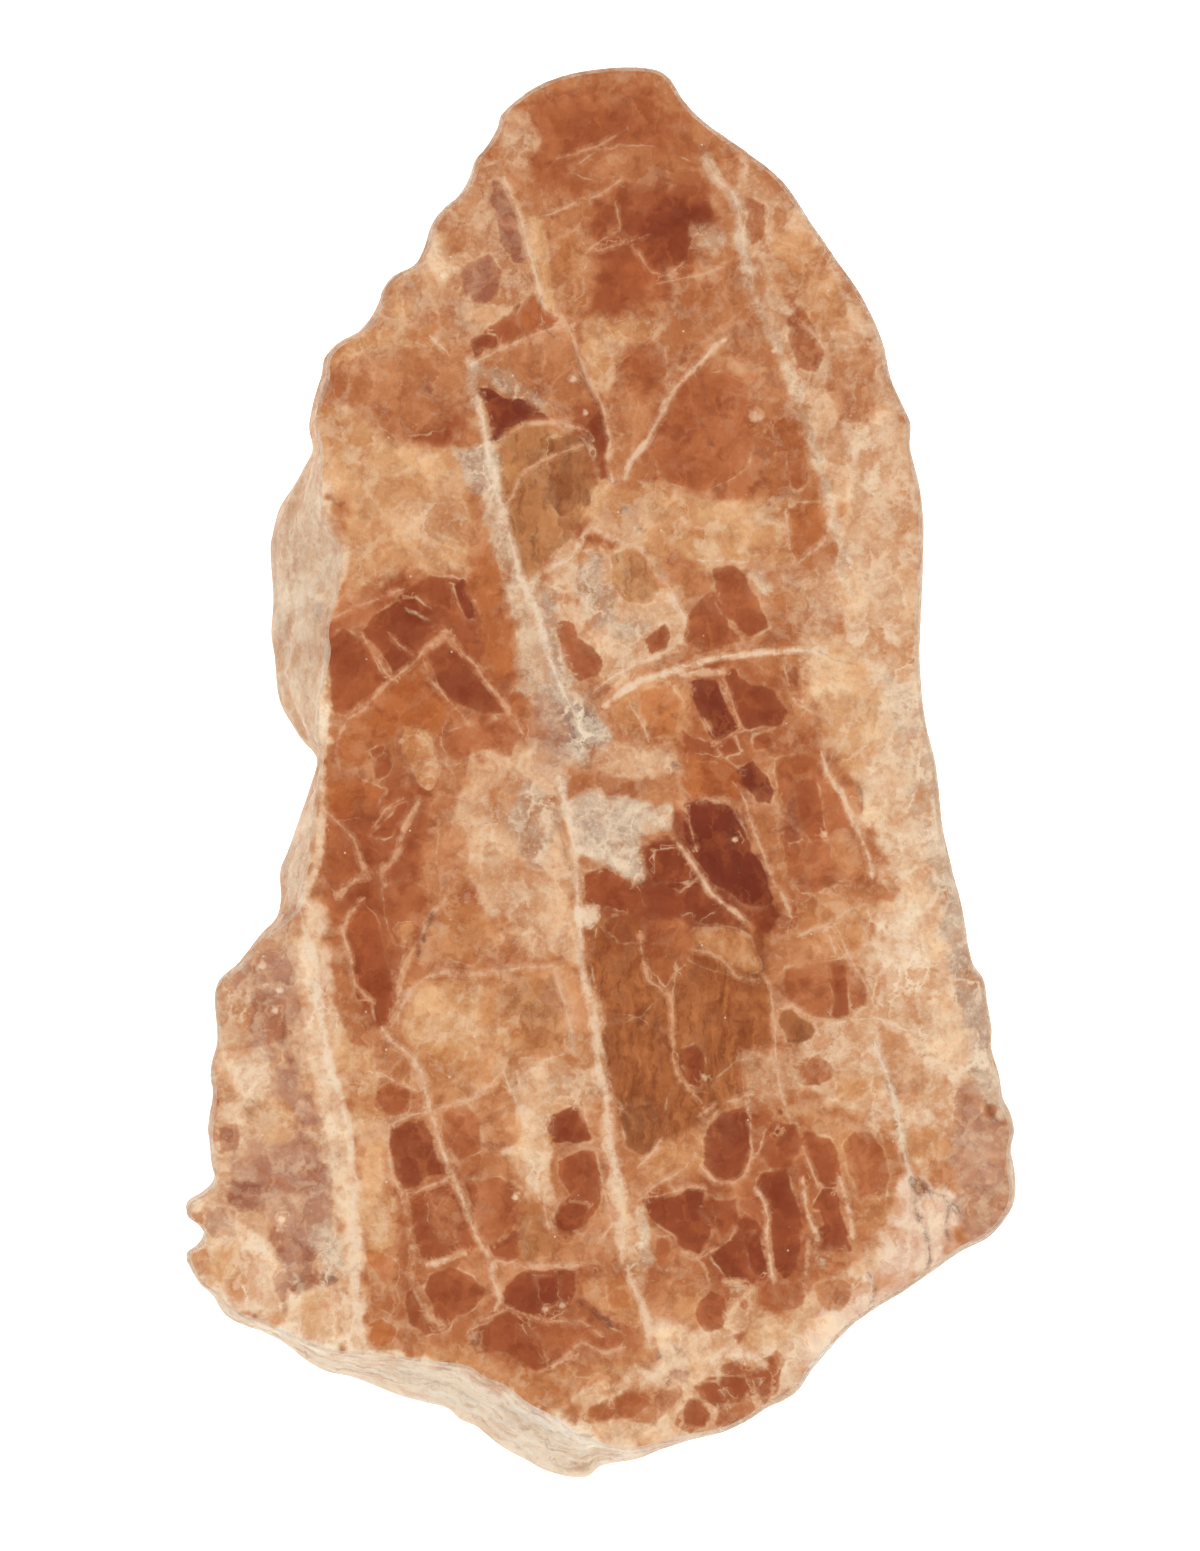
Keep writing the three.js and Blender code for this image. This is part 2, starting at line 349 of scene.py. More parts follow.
slice_mesh = bpy.data.meshes.new("hessonite_slice_skin")
loops = np.concatenate([face_corners.ravel(), wall_quads.ravel(), back_corners.ravel()])
sizes = np.repeat([3, 4, 3], [len(face_corners), len(wall_quads), len(back_corners)])
finish = np.repeat([0, 1, 2], [len(face_corners), len(wall_quads), len(back_corners)])
slice_mesh.vertices.add(len(points_mm))
slice_mesh.loops.add(len(loops))
slice_mesh.polygons.add(len(sizes))
slice_mesh.vertices.foreach_set("co", (points_mm / 1000).ravel().astype(np.float32))
slice_mesh.loops.foreach_set("vertex_index", loops.astype(np.int32))
slice_mesh.polygons.foreach_set("loop_start", np.r_[0, np.cumsum(sizes)[:-1]].astype(np.int32))
slice_mesh.polygons.foreach_set("material_index", finish.astype(np.int32))
slice_mesh.polygons.foreach_set("use_smooth", np.ones(len(sizes), bool))
slice_mesh.update(calc_edges=True)
print(len(points_mm), "points,", (sizes - 2).sum(), "triangles, mended:", slice_mesh.validate())

# %% [markdown]
# ## What the polish shows
# Each kind of stone on the face has a tone: its colour, how clear it is, how grainy and how fibrous. Traced
# shapes are laid over one another like glazes: wide soft washes first, then windows of clear garnet, bands
# and specks. An image texture could hold them too, but outlines stay sharp at any size. The result is one
# number per point for each property, so the same shapes steer colour, gloss and relief together.

# %% Tones: colour in sRGB, then clear, grainy and fibrous from 0 to 1
TONES = {
    "deep": (124, 54, 38, 1.0, 0.0, 0.1), "wine": (145, 72, 46, 1.0, 0.0, 0.0),
    "brick": (162, 86, 54, 1.0, 0.0, 0.1), "rust": (178, 103, 65, 0.9, 0.0, 0.1),
    "flame": (188, 108, 60, 0.9, 0.0, 0.1), "copper": (190, 121, 79, 0.7, 0.1, 0.2),
    "amber": (204, 139, 90, 0.6, 0.15, 0.1), "honey": (221, 167, 118, 0.4, 0.3, 0.1),
    "tan": (207, 155, 116, 0.3, 0.5, 0.1), "sand": (226, 182, 142, 0.15, 0.6, 0.0),
    "mauve": (186, 136, 114, 0.55, 0.1, 0.0), "plum": (160, 98, 78, 0.8, 0.05, 0.0),
    "umber": (148, 90, 56, 0.95, 0.0, 0.6), "olive": (186, 128, 84, 0.85, 0.0, 0.9),
    "fibre": (166, 98, 58, 0.95, 0.0, 1.0), "cream": (237, 199, 162, 0.0, 0.6, 0.0),
    "milk": (248, 224, 194, 0.0, 0.5, 0.0), "blush": (236, 200, 174, 0.1, 0.2, 0.0),
    "ash": (180, 146, 122, 0.1, 0.8, 0.0), "frost": (204, 178, 152, 0.1, 0.8, 0.0),
    "smoke": (140, 104, 84, 0.0, 0.8, 0.0),
}
print(len(TONES), "tones")

# %% Soft washes: tone, softness in pixels, strength, outline
WASHES = [
    ("rust", 16, 0.9, [(515, 112), (560, 85), (640, 80), (672, 110), (700, 150), (705, 190), (640, 205),
        (560, 200), (520, 165)]),
    ("tan", 10, 0.6, [(470, 140), (505, 170), (522, 215), (535, 280), (545, 305), (500, 325), (465, 345),
        (430, 345), (400, 330), (360, 330), (375, 280), (425, 235)]),
    ("copper", 14, 0.8, [(530, 200), (600, 190), (700, 180), (745, 260), (790, 370), (820, 480), (720, 500),
        (640, 480), (605, 400), (560, 320)]),
    ("tan", 14, 0.8, [(735, 150), (800, 205), (870, 310), (905, 410), (880, 480), (835, 520), (800, 420),
        (765, 320), (735, 220)]),
    ("sand", 14, 0.8, [(850, 420), (915, 420), (930, 560), (925, 640), (840, 640), (835, 540)]),
    ("honey", 12, 0.9, [(305, 405), (345, 400), (395, 440), (450, 450), (500, 435), (505, 480), (450, 490),
        (400, 478), (345, 490), (300, 500)]),
    ("copper", 16, 0.9, [(345, 490), (480, 480), (525, 580), (555, 700), (540, 770), (430, 790), (330, 790),
        (325, 650), (345, 560)]),
    ("honey", 16, 0.75, [(350, 470), (470, 480), (470, 570), (400, 590), (345, 600)]),
    ("honey", 14, 0.75, [(580, 485), (660, 485), (760, 500), (790, 520), (740, 560), (690, 560), (650, 555),
        (590, 540)]),
    ("rust", 14, 0.85, [(325, 790), (430, 790), (450, 870), (420, 960), (395, 1010), (345, 960),
        (315, 880)]),
    ("copper", 14, 0.7, [(420, 800), (560, 790), (580, 960), (480, 970), (420, 960)]),
    ("sand", 12, 0.65, [(470, 745), (560, 740), (572, 880), (580, 960), (520, 950), (480, 900),
        (455, 830)]),
    ("amber", 14, 0.85, [(400, 985), (480, 970), (575, 965), (600, 1080), (560, 1120), (470, 1110),
        (410, 1080)]),
    ("fibre", 12, 0.95, [(585, 900), (690, 895), (770, 930), (770, 1040), (740, 1100), (640, 1160),
        (600, 1080), (585, 980)]),
    ("copper", 14, 0.9, [(770, 750), (860, 760), (900, 900), (940, 1040), (900, 1130), (780, 1120),
        (770, 930)]),
    ("sand", 14, 0.95, [(800, 640), (880, 628), (930, 636), (930, 690), (945, 830), (960, 900), (905, 920),
        (870, 840), (850, 760), (810, 700)]),
    ("sand", 12, 0.9, [(905, 690), (950, 840), (1000, 1080), (985, 1150), (940, 1130), (920, 960),
        (890, 830)]),
    ("sand", 12, 0.7, [(860, 900), (930, 930), (960, 1100), (930, 1180), (890, 1130), (850, 1010)]),
    ("amber", 14, 0.9, [(640, 1150), (800, 1100), (890, 1130), (880, 1220), (850, 1260), (800, 1310),
        (690, 1330), (640, 1230)]),
    ("copper", 14, 0.8, [(380, 1110), (600, 1110), (640, 1260), (660, 1350), (600, 1400), (500, 1370),
        (370, 1350), (360, 1230)]),
    ("amber", 12, 0.9, [(385, 1340), (470, 1345), (520, 1365), (600, 1355), (655, 1350), (600, 1400),
        (560, 1412), (500, 1388), (440, 1366), (385, 1352)]),
    ("sand", 14, 0.85, [(655, 1325), (760, 1320), (830, 1270), (910, 1180), (960, 1260), (830, 1370),
        (780, 1400), (730, 1360), (660, 1380)]),
    ("blush", 12, 0.95, [(905, 1175), (960, 1190), (960, 1250), (880, 1310), (830, 1350), (790, 1390),
        (770, 1400), (780, 1350), (840, 1300), (890, 1240)]),
    ("tan", 10, 0.9, [(180, 1180), (215, 1100), (205, 1000), (235, 950), (300, 905), (320, 1000),
        (345, 1120), (350, 1240), (355, 1345), (290, 1340), (190, 1260)]),
    ("cream", 9, 0.8, [(262, 1235), (300, 1280), (360, 1290), (365, 1350), (300, 1350), (205, 1300),
        (190, 1250), (215, 1215)]),
    # the lower left wall: its own pale rind, made nearly white as painted brightness of its lit edge
    ("milk", 6, 0.95, [(170, 1240), (215, 1297), (290, 1333), (330, 1346), (408, 1356), (460, 1370),
        (517, 1404), (569, 1424), (640, 1445), (640, 1500), (170, 1500)]),
    ("sand", 6, 0.95, [(255, 440), (312, 440), (322, 470), (330, 500), (342, 530), (347, 566), (338, 600),
        (318, 625), (328, 653), (330, 706), (322, 760), (255, 760)]),
    ("cream", 7, 0.9, [(262, 770), (318, 765), (312, 850), (300, 905), (262, 920)]),
    ("copper", 14, 0.8, [(345, 388), (368, 346), (420, 330), (456, 345), (470, 390), (456, 430), (420, 443),
        (385, 435), (358, 420)]),
    ("rust", 14, 0.85, [(328, 625), (345, 600), (400, 572), (470, 575), (510, 640), (532, 700), (520, 742),
        (460, 755), (400, 740), (332, 705)]),
    ("brick", 14, 0.7, [(330, 780), (400, 760), (428, 800), (418, 860), (395, 930), (400, 1010),
        (385, 1040), (360, 1010), (345, 930), (325, 860)]),
    ("mauve", 10, 0.85, [(232, 985), (262, 950), (295, 960), (300, 1010), (290, 1055), (262, 1060),
        (240, 1040)]),
    ("mauve", 10, 0.85, [(240, 1140), (300, 1130), (338, 1150), (336, 1200), (300, 1215), (255, 1210),
        (236, 1180)]),
    ("plum", 8, 0.85, [(272, 1215), (300, 1225), (322, 1262), (318, 1290), (296, 1296), (280, 1270),
        (268, 1240)]),
    ("plum", 7, 0.8, [(270, 1070), (290, 1066), (318, 1110), (316, 1124), (296, 1115), (276, 1095)]),
    ("brick", 18, 0.85, [(600, 200), (640, 175), (690, 165), (714, 190), (712, 230), (690, 265), (655, 285),
        (640, 305), (622, 318), (598, 318), (588, 290), (605, 262), (590, 235)]),
    ("rust", 14, 0.85, [(660, 405), (695, 365), (745, 370), (762, 420), (768, 480), (740, 510), (700, 500),
        (660, 480), (636, 452)]),
    ("honey", 10, 0.7, [(582, 326), (610, 316), (650, 322), (668, 336), (640, 350), (600, 348)]),
    ("wine", 12, 0.8, [(642, 1200), (690, 1192), (740, 1215), (756, 1160), (790, 1150), (806, 1200),
        (812, 1262), (790, 1285), (760, 1290), (725, 1280), (700, 1250), (655, 1235)]),
    ("sand", 10, 0.8, [(550, 540), (600, 535), (640, 580), (690, 600), (680, 655), (610, 690), (570, 665),
        (545, 600)]),
    ("frost", 10, 0.65, [(478, 440), (492, 440), (505, 500), (530, 560), (560, 620), (565, 675), (600, 700),
        (606, 750), (560, 768), (545, 730), (522, 690), (515, 620), (500, 560), (482, 500)]),
    ("smoke", 10, 0.45, [(560, 700), (592, 702), (600, 740), (575, 756), (550, 742)]),
    ("wine", 9, 0.95, [(578, 862), (600, 872), (630, 884), (652, 872), (646, 850), (670, 838), (680, 806),
        (735, 800), (750, 840), (772, 900), (778, 928), (740, 930), (690, 926), (650, 924), (600, 916),
        (584, 890)]),
    ("rust", 10, 0.85, [(690, 668), (745, 655), (785, 690), (782, 735), (765, 760), (740, 798), (690, 802),
        (676, 770), (680, 735), (694, 705)]),
    ("sand", 14, 0.75, [(800, 1040), (850, 1020), (905, 935), (935, 960), (955, 1060), (960, 1130),
        (930, 1170), (900, 1150), (850, 1110), (800, 1090)]),
    ("mauve", 12, 0.85, [(950, 1130), (985, 1110), (1020, 1125), (1024, 1195), (1004, 1235), (965, 1240),
        (955, 1190)]),
    ("frost", 10, 0.7, [(945, 860), (966, 900), (996, 1000), (1012, 1090), (1014, 1125), (985, 1110),
        (965, 1030), (945, 950)]),
    ("sand", 10, 0.8, [(575, 1400), (680, 1352), (800, 1338), (795, 1400), (700, 1440), (600, 1450)]),
    ("cream", 10, 0.75, [(298, 905), (318, 900), (335, 1000), (350, 1100), (364, 1200), (364, 1340),
        (343, 1345), (335, 1200), (316, 1080), (300, 980)]),
    ("honey", 10, 0.8, [(345, 1040), (372, 1050), (385, 1100), (380, 1180), (392, 1240), (372, 1260),
        (360, 1200), (352, 1120)]),
    ("honey", 10, 0.7, [(500, 1065), (560, 1060), (600, 1090), (600, 1110), (560, 1120), (550, 1200),
        (520, 1200), (505, 1120)]),
    ("honey", 12, 0.7, [(800, 655), (850, 650), (880, 700), (880, 760), (840, 770), (815, 720)]),
    ("brick", 16, 0.6, [(563, 115), (590, 104), (640, 112), (660, 135), (640, 150), (600, 145), (570, 150),
        (552, 140)]),
    ("brick", 16, 0.7, [(600, 250), (650, 250), (670, 275), (650, 300), (615, 316), (598, 300),
        (592, 270)]),
    ("rust", 14, 0.8, [(625, 345), (650, 340), (668, 352), (665, 385), (645, 398), (628, 390), (620, 365)]),
    ("brick", 14, 0.75, [(682, 378), (712, 376), (720, 405), (705, 428), (685, 420), (676, 398)]),
    ("rust", 16, 0.8, [(375, 372), (420, 370), (452, 385), (456, 412), (452, 436), (435, 444), (405, 442),
        (385, 430), (372, 400)]),
    ("brick", 14, 0.7, [(400, 395), (430, 392), (450, 410), (440, 438), (412, 438), (395, 420)]),
    ("frost", 12, 0.55, [(883, 671), (930, 690), (962, 850), (980, 960), (952, 960), (925, 850),
        (900, 750)]),
    ("honey", 12, 0.7, [(690, 500), (790, 500), (792, 560), (745, 566), (700, 572), (680, 560)]),
    ("brick", 12, 0.65, [(470, 1330), (500, 1290), (560, 1270), (600, 1280), (640, 1310), (640, 1345),
        (600, 1365), (540, 1370), (480, 1360)]),
    ("rust", 12, 0.55, [(392, 1185), (450, 1170), (520, 1180), (560, 1250), (530, 1262), (480, 1262),
        (470, 1340), (420, 1345), (400, 1290)]),
    ("rust", 14, 0.75, [(650, 1190), (700, 1170), (760, 1110), (800, 1120), (850, 1170), (880, 1200),
        (870, 1250), (820, 1290), (760, 1300), (690, 1300), (660, 1260)]),
    ("brick", 8, 0.8, [(562, 372), (596, 366), (606, 400), (609, 440), (600, 468), (578, 450), (570, 410)]),
    ("wine", 10, 0.8, [(626, 214), (655, 200), (680, 195), (705, 200), (713, 214), (704, 232), (690, 245),
        (680, 260), (664, 270), (650, 266), (640, 250), (620, 235)]),
    ("deep", 12, 0.4, [(640, 212), (672, 203), (700, 208), (690, 225), (660, 240), (642, 235)]),
    ("honey", 12, 0.6, [(330, 350), (390, 325), (440, 330), (450, 350), (400, 360), (350, 375)]),
    ("brick", 14, 0.75, [(370, 400), (400, 380), (450, 385), (462, 430), (430, 446), (385, 425)]),
]
print(len(WASHES), "washes")

# %% Windows and patches of the narrow end
NARROW_END_PATCHES = [
    ("copper", 6, 0.7, [(600, 150), (650, 145), (700, 165), (700, 185), (640, 185), (600, 180),
        (570, 170)]),
    ("tan", 6, 0.7, [(510, 110), (530, 112), (540, 140), (528, 170), (512, 170), (500, 140)]),
    ("plum", 5, 0.9, [(494, 180), (508, 188), (518, 210), (526, 235), (527, 258), (514, 262), (503, 250),
        (498, 225), (491, 200)]),
    ("plum", 6, 0.85, [(468, 262), (490, 256), (502, 272), (498, 296), (480, 305), (462, 292), (460, 275)]),
    ("copper", 5, 0.8, [(452, 228), (475, 225), (476, 248), (452, 255), (445, 240)]),
    ("sand", 6, 0.8, [(430, 225), (442, 232), (450, 262), (462, 270), (440, 285), (425, 262)]),
    ("honey", 5, 0.8, [(398, 300), (412, 298), (414, 318), (400, 322), (392, 312)]),
    ("honey", 10, 0.8, [(350, 335), (395, 322), (400, 345), (350, 365), (328, 365)]),
    ("brick", 5, 0.85, [(474, 348), (478, 336), (505, 315), (525, 300), (537, 292), (542, 308), (560, 318),
        (545, 330), (520, 338), (495, 350)]),
    ("deep", 4, 0.55, [(472, 340), (482, 334), (498, 338), (500, 348), (484, 352), (474, 360)]),
    ("flame", 4, 0.6, [(524, 300), (536, 294), (540, 322), (530, 332), (522, 322)]),
    ("copper", 8, 0.8, [(500, 352), (560, 340), (580, 360), (598, 400), (560, 410), (530, 392),
        (505, 370)]),
    ("ash", 5, 0.75, [(478, 365), (505, 368), (530, 385), (552, 405), (545, 412), (515, 398), (490, 386),
        (474, 380)]),
    ("honey", 5, 0.9, [(528, 215), (540, 218), (548, 240), (553, 280), (556, 312), (545, 306), (536, 280),
        (530, 250)]),
    ("amber", 6, 0.85, [(553, 232), (575, 228), (585, 250), (582, 295), (568, 306), (555, 290)]),
    ("honey", 6, 0.8, [(582, 345), (600, 335), (618, 350), (615, 380), (608, 402), (592, 385)]),
    ("honey", 10, 0.6, [(600, 322), (650, 318), (665, 330), (640, 345), (605, 340)]),
    ("rust", 9, 0.85, [(680, 372), (720, 372), (748, 385), (755, 430), (745, 470), (700, 492), (665, 480),
        (650, 450), (660, 415)]),
    ("wine", 5, 0.9, [(585, 430), (600, 405), (607, 420), (609, 440), (606, 460), (610, 476), (600, 480),
        (596, 452)]),
    ("deep", 4, 1.0, [(475, 387), (490, 388), (505, 398), (520, 400), (545, 412), (552, 421), (525, 421),
        (513, 426), (505, 433), (497, 446), (490, 440), (491, 425), (485, 408), (478, 398)]),
    ("amber", 8, 0.8, [(770, 225), (810, 235), (842, 290), (850, 330), (810, 335), (785, 300), (765, 262)]),
    ("brick", 4, 0.7, [(748, 200), (765, 205), (764, 240), (752, 246), (745, 225)]),
    ("rust", 4, 0.6, [(775, 205), (786, 212), (784, 234), (774, 232)]),
    ("brick", 5, 0.7, [(788, 318), (800, 305), (815, 330), (824, 352), (818, 372), (798, 368), (788, 345)]),
    ("copper", 8, 0.7, [(830, 350), (865, 345), (880, 385), (870, 425), (840, 420), (825, 385)]),
    ("rust", 4, 0.7, [(788, 455), (804, 450), (809, 480), (796, 492), (786, 475)]),
    ("frost", 5, 0.7, [(690, 222), (716, 225), (728, 245), (715, 255), (695, 246)]),
]
print(len(NARROW_END_PATCHES), "patches on the narrow end")

# %% The shoulder and the left block
SHOULDER_PATCHES = [
    ("copper", 9, 0.9, [(338, 368), (365, 352), (400, 345), (440, 350), (457, 375), (460, 405), (440, 430),
        (400, 436), (360, 415), (335, 398)]),
    ("ash", 6, 0.8, [(455, 448), (480, 442), (498, 455), (500, 490), (480, 500), (462, 480)]),
    ("frost", 5, 0.7, [(470, 395), (480, 398), (487, 425), (482, 440), (472, 425)]),
    ("olive", 8, 0.95, [(500, 440), (520, 425), (555, 425), (580, 440), (595, 465), (590, 500), (575, 530),
        (545, 562), (528, 585), (512, 560), (500, 510)]),
    ("umber", 7, 0.7, [(550, 440), (585, 432), (596, 450), (600, 480), (580, 500), (560, 520), (548, 500)]),
    ("tan", 10, 0.6, [(400, 500), (450, 495), (470, 520), (440, 545), (405, 540)]),
    ("honey", 8, 0.5, [(372, 480), (400, 478), (402, 510), (385, 525), (372, 510)]),
    ("copper", 8, 0.55, [(370, 520), (390, 515), (395, 545), (372, 555)]),
    ("flame", 10, 0.6, [(470, 540), (492, 545), (508, 600), (520, 660), (505, 700), (488, 680), (480, 630),
        (468, 590)]),
    ("wine", 5, 0.9, [(362, 630), (375, 615), (395, 602), (415, 598), (432, 610), (441, 628), (431, 640),
        (420, 646), (412, 674), (395, 676), (378, 650)]),
    ("brick", 8, 0.8, [(395, 598), (430, 575), (460, 582), (478, 612), (482, 645), (478, 675), (450, 640),
        (438, 625)]),
    ("deep", 4, 0.8, [(455, 586), (463, 580), (471, 600), (475, 616), (467, 621), (460, 606)]),
    ("wine", 6, 0.85, [(428, 655), (445, 640), (455, 650), (475, 672), (492, 694), (505, 712), (485, 712),
        (455, 702), (440, 686)]),
    ("brick", 7, 0.9, [(326, 640), (345, 630), (362, 640), (378, 665), (388, 680), (365, 700), (345, 715),
        (332, 712)]),
    ("flame", 9, 0.8, [(338, 740), (350, 715), (385, 690), (415, 665), (428, 680), (450, 710), (440, 735),
        (400, 725), (370, 765), (342, 770)]),
    ("honey", 4, 0.9, [(400, 742), (405, 730), (420, 727), (431, 738), (436, 760), (438, 776), (430, 790),
        (420, 785), (412, 770), (405, 755)]),
    ("rust", 8, 0.75, [(440, 735), (470, 725), (500, 722), (520, 735), (510, 755), (480, 750), (450, 765)]),
    ("brick", 5, 0.7, [(370, 750), (386, 745), (392, 770), (376, 780)]),
    ("ash", 8, 0.8, [(545, 640), (560, 660), (575, 700), (600, 720), (598, 760), (570, 770), (552, 730),
        (545, 690)]),
    ("brick", 4, 0.9, [(555, 625), (570, 620), (578, 635), (588, 645), (601, 655), (603, 666), (598, 676),
        (580, 681), (570, 670), (562, 650)]),
    ("ash", 5, 0.7, [(540, 588), (556, 590), (552, 640), (562, 680), (548, 672), (540, 630)]),
    ("olive", 5, 0.8, [(612, 556), (630, 548), (650, 562), (660, 590), (648, 605), (625, 600), (610, 580)]),
    ("ash", 6, 0.7, [(575, 570), (600, 566), (610, 590), (625, 612), (650, 625), (640, 640), (605, 640),
        (580, 615)]),
    ("brick", 4, 0.9, [(645, 640), (655, 630), (666, 622), (673, 635), (666, 650), (650, 656)]),
    ("smoke", 3, 0.6, [(594, 552), (602, 552), (604, 562), (595, 564)]),
    ("smoke", 3, 0.5, [(655, 564), (664, 566), (668, 580), (660, 578)]),
]
print(len(SHOULDER_PATCHES), "patches on the shoulder")

# %% The middle, with the deepest windows
MIDDLE_PATCHES = [
    ("brick", 4, 0.85, [(712, 569), (735, 566), (746, 575), (753, 590), (761, 610), (770, 628), (750, 636),
        (738, 629), (725, 615), (717, 595)]),
    ("brick", 5, 0.8, [(690, 610), (712, 590), (725, 618), (740, 640), (700, 655), (685, 640)]),
    ("tan", 8, 0.6, [(775, 575), (830, 565), (845, 610), (835, 640), (795, 630)]),
    ("frost", 4, 0.8, [(745, 568), (762, 570), (768, 590), (752, 590)]),
    ("flame", 7, 0.6, [(785, 512), (800, 504), (822, 503), (828, 516), (820, 540), (808, 548), (795, 562),
        (787, 545)]),
    ("amber", 7, 0.85, [(615, 692), (645, 680), (672, 677), (690, 688), (690, 705), (684, 722), (679, 742),
        (664, 749), (640, 745), (618, 720)]),
    ("flame", 7, 0.7, [(640, 690), (672, 686), (682, 705), (672, 735), (650, 735), (640, 712)]),
    ("deep", 4, 0.9, [(692, 682), (718, 680), (723, 700), (731, 715), (739, 728), (726, 736), (712, 740),
        (703, 721), (695, 700)]),
    ("wine", 4, 0.95, [(722, 668), (734, 668), (743, 680), (751, 687), (765, 685), (778, 694), (786, 712),
        (779, 723), (756, 729), (745, 730), (736, 715), (728, 695)]),
    ("brick", 5, 0.85, [(680, 728), (705, 742), (735, 738), (742, 752), (715, 760), (685, 756)]),
    ("brick", 4, 0.8, [(752, 735), (768, 732), (773, 746), (755, 749)]),
    ("amber", 6, 0.8, [(780, 665), (792, 655), (806, 668), (812, 700), (800, 712), (786, 700)]),
    ("rust", 5, 0.6, [(784, 680), (795, 662), (803, 682), (804, 700), (792, 696)]),
    ("flame", 7, 0.8, [(680, 758), (722, 758), (740, 772), (735, 798), (700, 800), (680, 785)]),
    ("deep", 4, 0.9, [(738, 770), (752, 761), (765, 775), (774, 790), (770, 803), (757, 803), (747, 790)]),
    ("deep", 5, 1.0, [(683, 803), (700, 799), (729, 803), (738, 820), (748, 840), (758, 860), (769, 885),
        (775, 901), (750, 906), (734, 895), (717, 885), (704, 870), (694, 855), (684, 835)]),
    ("wine", 7, 0.9, [(640, 845), (668, 838), (690, 852), (705, 880), (722, 905), (690, 925), (650, 910),
        (635, 880)]),
    ("deep", 5, 0.5, [(655, 850), (680, 850), (700, 875), (680, 890), (655, 880)]),
    ("brick", 6, 0.9, [(583, 872), (610, 865), (640, 885), (652, 905), (640, 915), (600, 912), (585, 900)]),
    ("rust", 9, 0.95, [(776, 762), (800, 752), (822, 762), (830, 780), (846, 800), (856, 825), (864, 850),
        (870, 868), (860, 882), (835, 886), (800, 892), (786, 870), (780, 820)]),
    ("brick", 6, 0.7, [(796, 782), (815, 778), (822, 810), (828, 838), (810, 842), (798, 820)]),
    ("plum", 5, 0.6, [(784, 800), (796, 798), (800, 838), (788, 842)]),
    ("amber", 8, 0.7, [(836, 830), (858, 840), (866, 868), (845, 878), (835, 858)]),
    ("frost", 5, 0.95, [(560, 800), (590, 790), (640, 800), (670, 806), (668, 830), (650, 833), (641, 846),
        (641, 860), (649, 880), (630, 889), (622, 870), (606, 862), (598, 871), (589, 865), (579, 850),
        (565, 835)]),
    ("ash", 5, 0.6, [(575, 812), (610, 806), (625, 830), (600, 845), (580, 838)]),
    ("wine", 5, 0.9, [(648, 840), (668, 834), (690, 852), (690, 880), (655, 884), (645, 862)]),
    ("milk", 4, 0.8, [(573, 905), (600, 904), (602, 918), (590, 930), (576, 926)]),
    ("sand", 10, 0.7, [(600, 742), (640, 745), (680, 755), (684, 775), (650, 780), (610, 775), (590, 762)]),
    ("mauve", 7, 0.6, [(530, 690), (560, 700), (575, 760), (555, 785), (530, 770)]),
    ("ash", 7, 0.6, [(505, 790), (545, 782), (560, 830), (545, 870), (515, 860)]),
    ("rust", 4, 0.9, [(318, 830), (335, 822), (350, 838), (359, 855), (362, 870), (350, 880), (335, 888),
        (325, 880), (318, 860)]),
    ("brick", 4, 0.8, [(372, 835), (381, 825), (398, 808), (406, 805), (400, 820), (390, 836)]),
    ("flame", 8, 0.7, [(325, 780), (350, 775), (385, 790), (370, 815), (345, 820), (328, 812)]),
    ("rust", 6, 0.85, [(385, 885), (405, 880), (428, 890), (430, 912), (415, 935), (395, 945), (388, 920)]),
    ("amber", 4, 0.8, [(400, 925), (415, 924), (414, 945), (402, 945)]),
    ("brick", 4, 0.95, [(342, 930), (352, 912), (362, 905), (375, 915), (382, 940), (388, 965), (391, 990),
        (392, 1010), (390, 1026), (378, 1025), (372, 1001), (358, 998), (355, 975), (350, 955)]),
    ("copper", 7, 0.7, [(440, 830), (465, 825), (470, 860), (450, 890), (436, 870)]),
    ("amber", 8, 0.7, [(445, 905), (480, 900), (500, 940), (470, 965), (440, 955)]),
    ("smoke", 5, 0.8, [(566, 712), (590, 704), (606, 726), (592, 750), (570, 746)]),
    ("copper", 6, 0.85, [(628, 668), (664, 656), (700, 645), (690, 662), (650, 676), (632, 684)]),
    ("brick", 6, 0.85, [(604, 910), (640, 914), (676, 928), (664, 942), (622, 942), (606, 930)]),
]
print(len(MIDDLE_PATCHES), "patches in the middle")

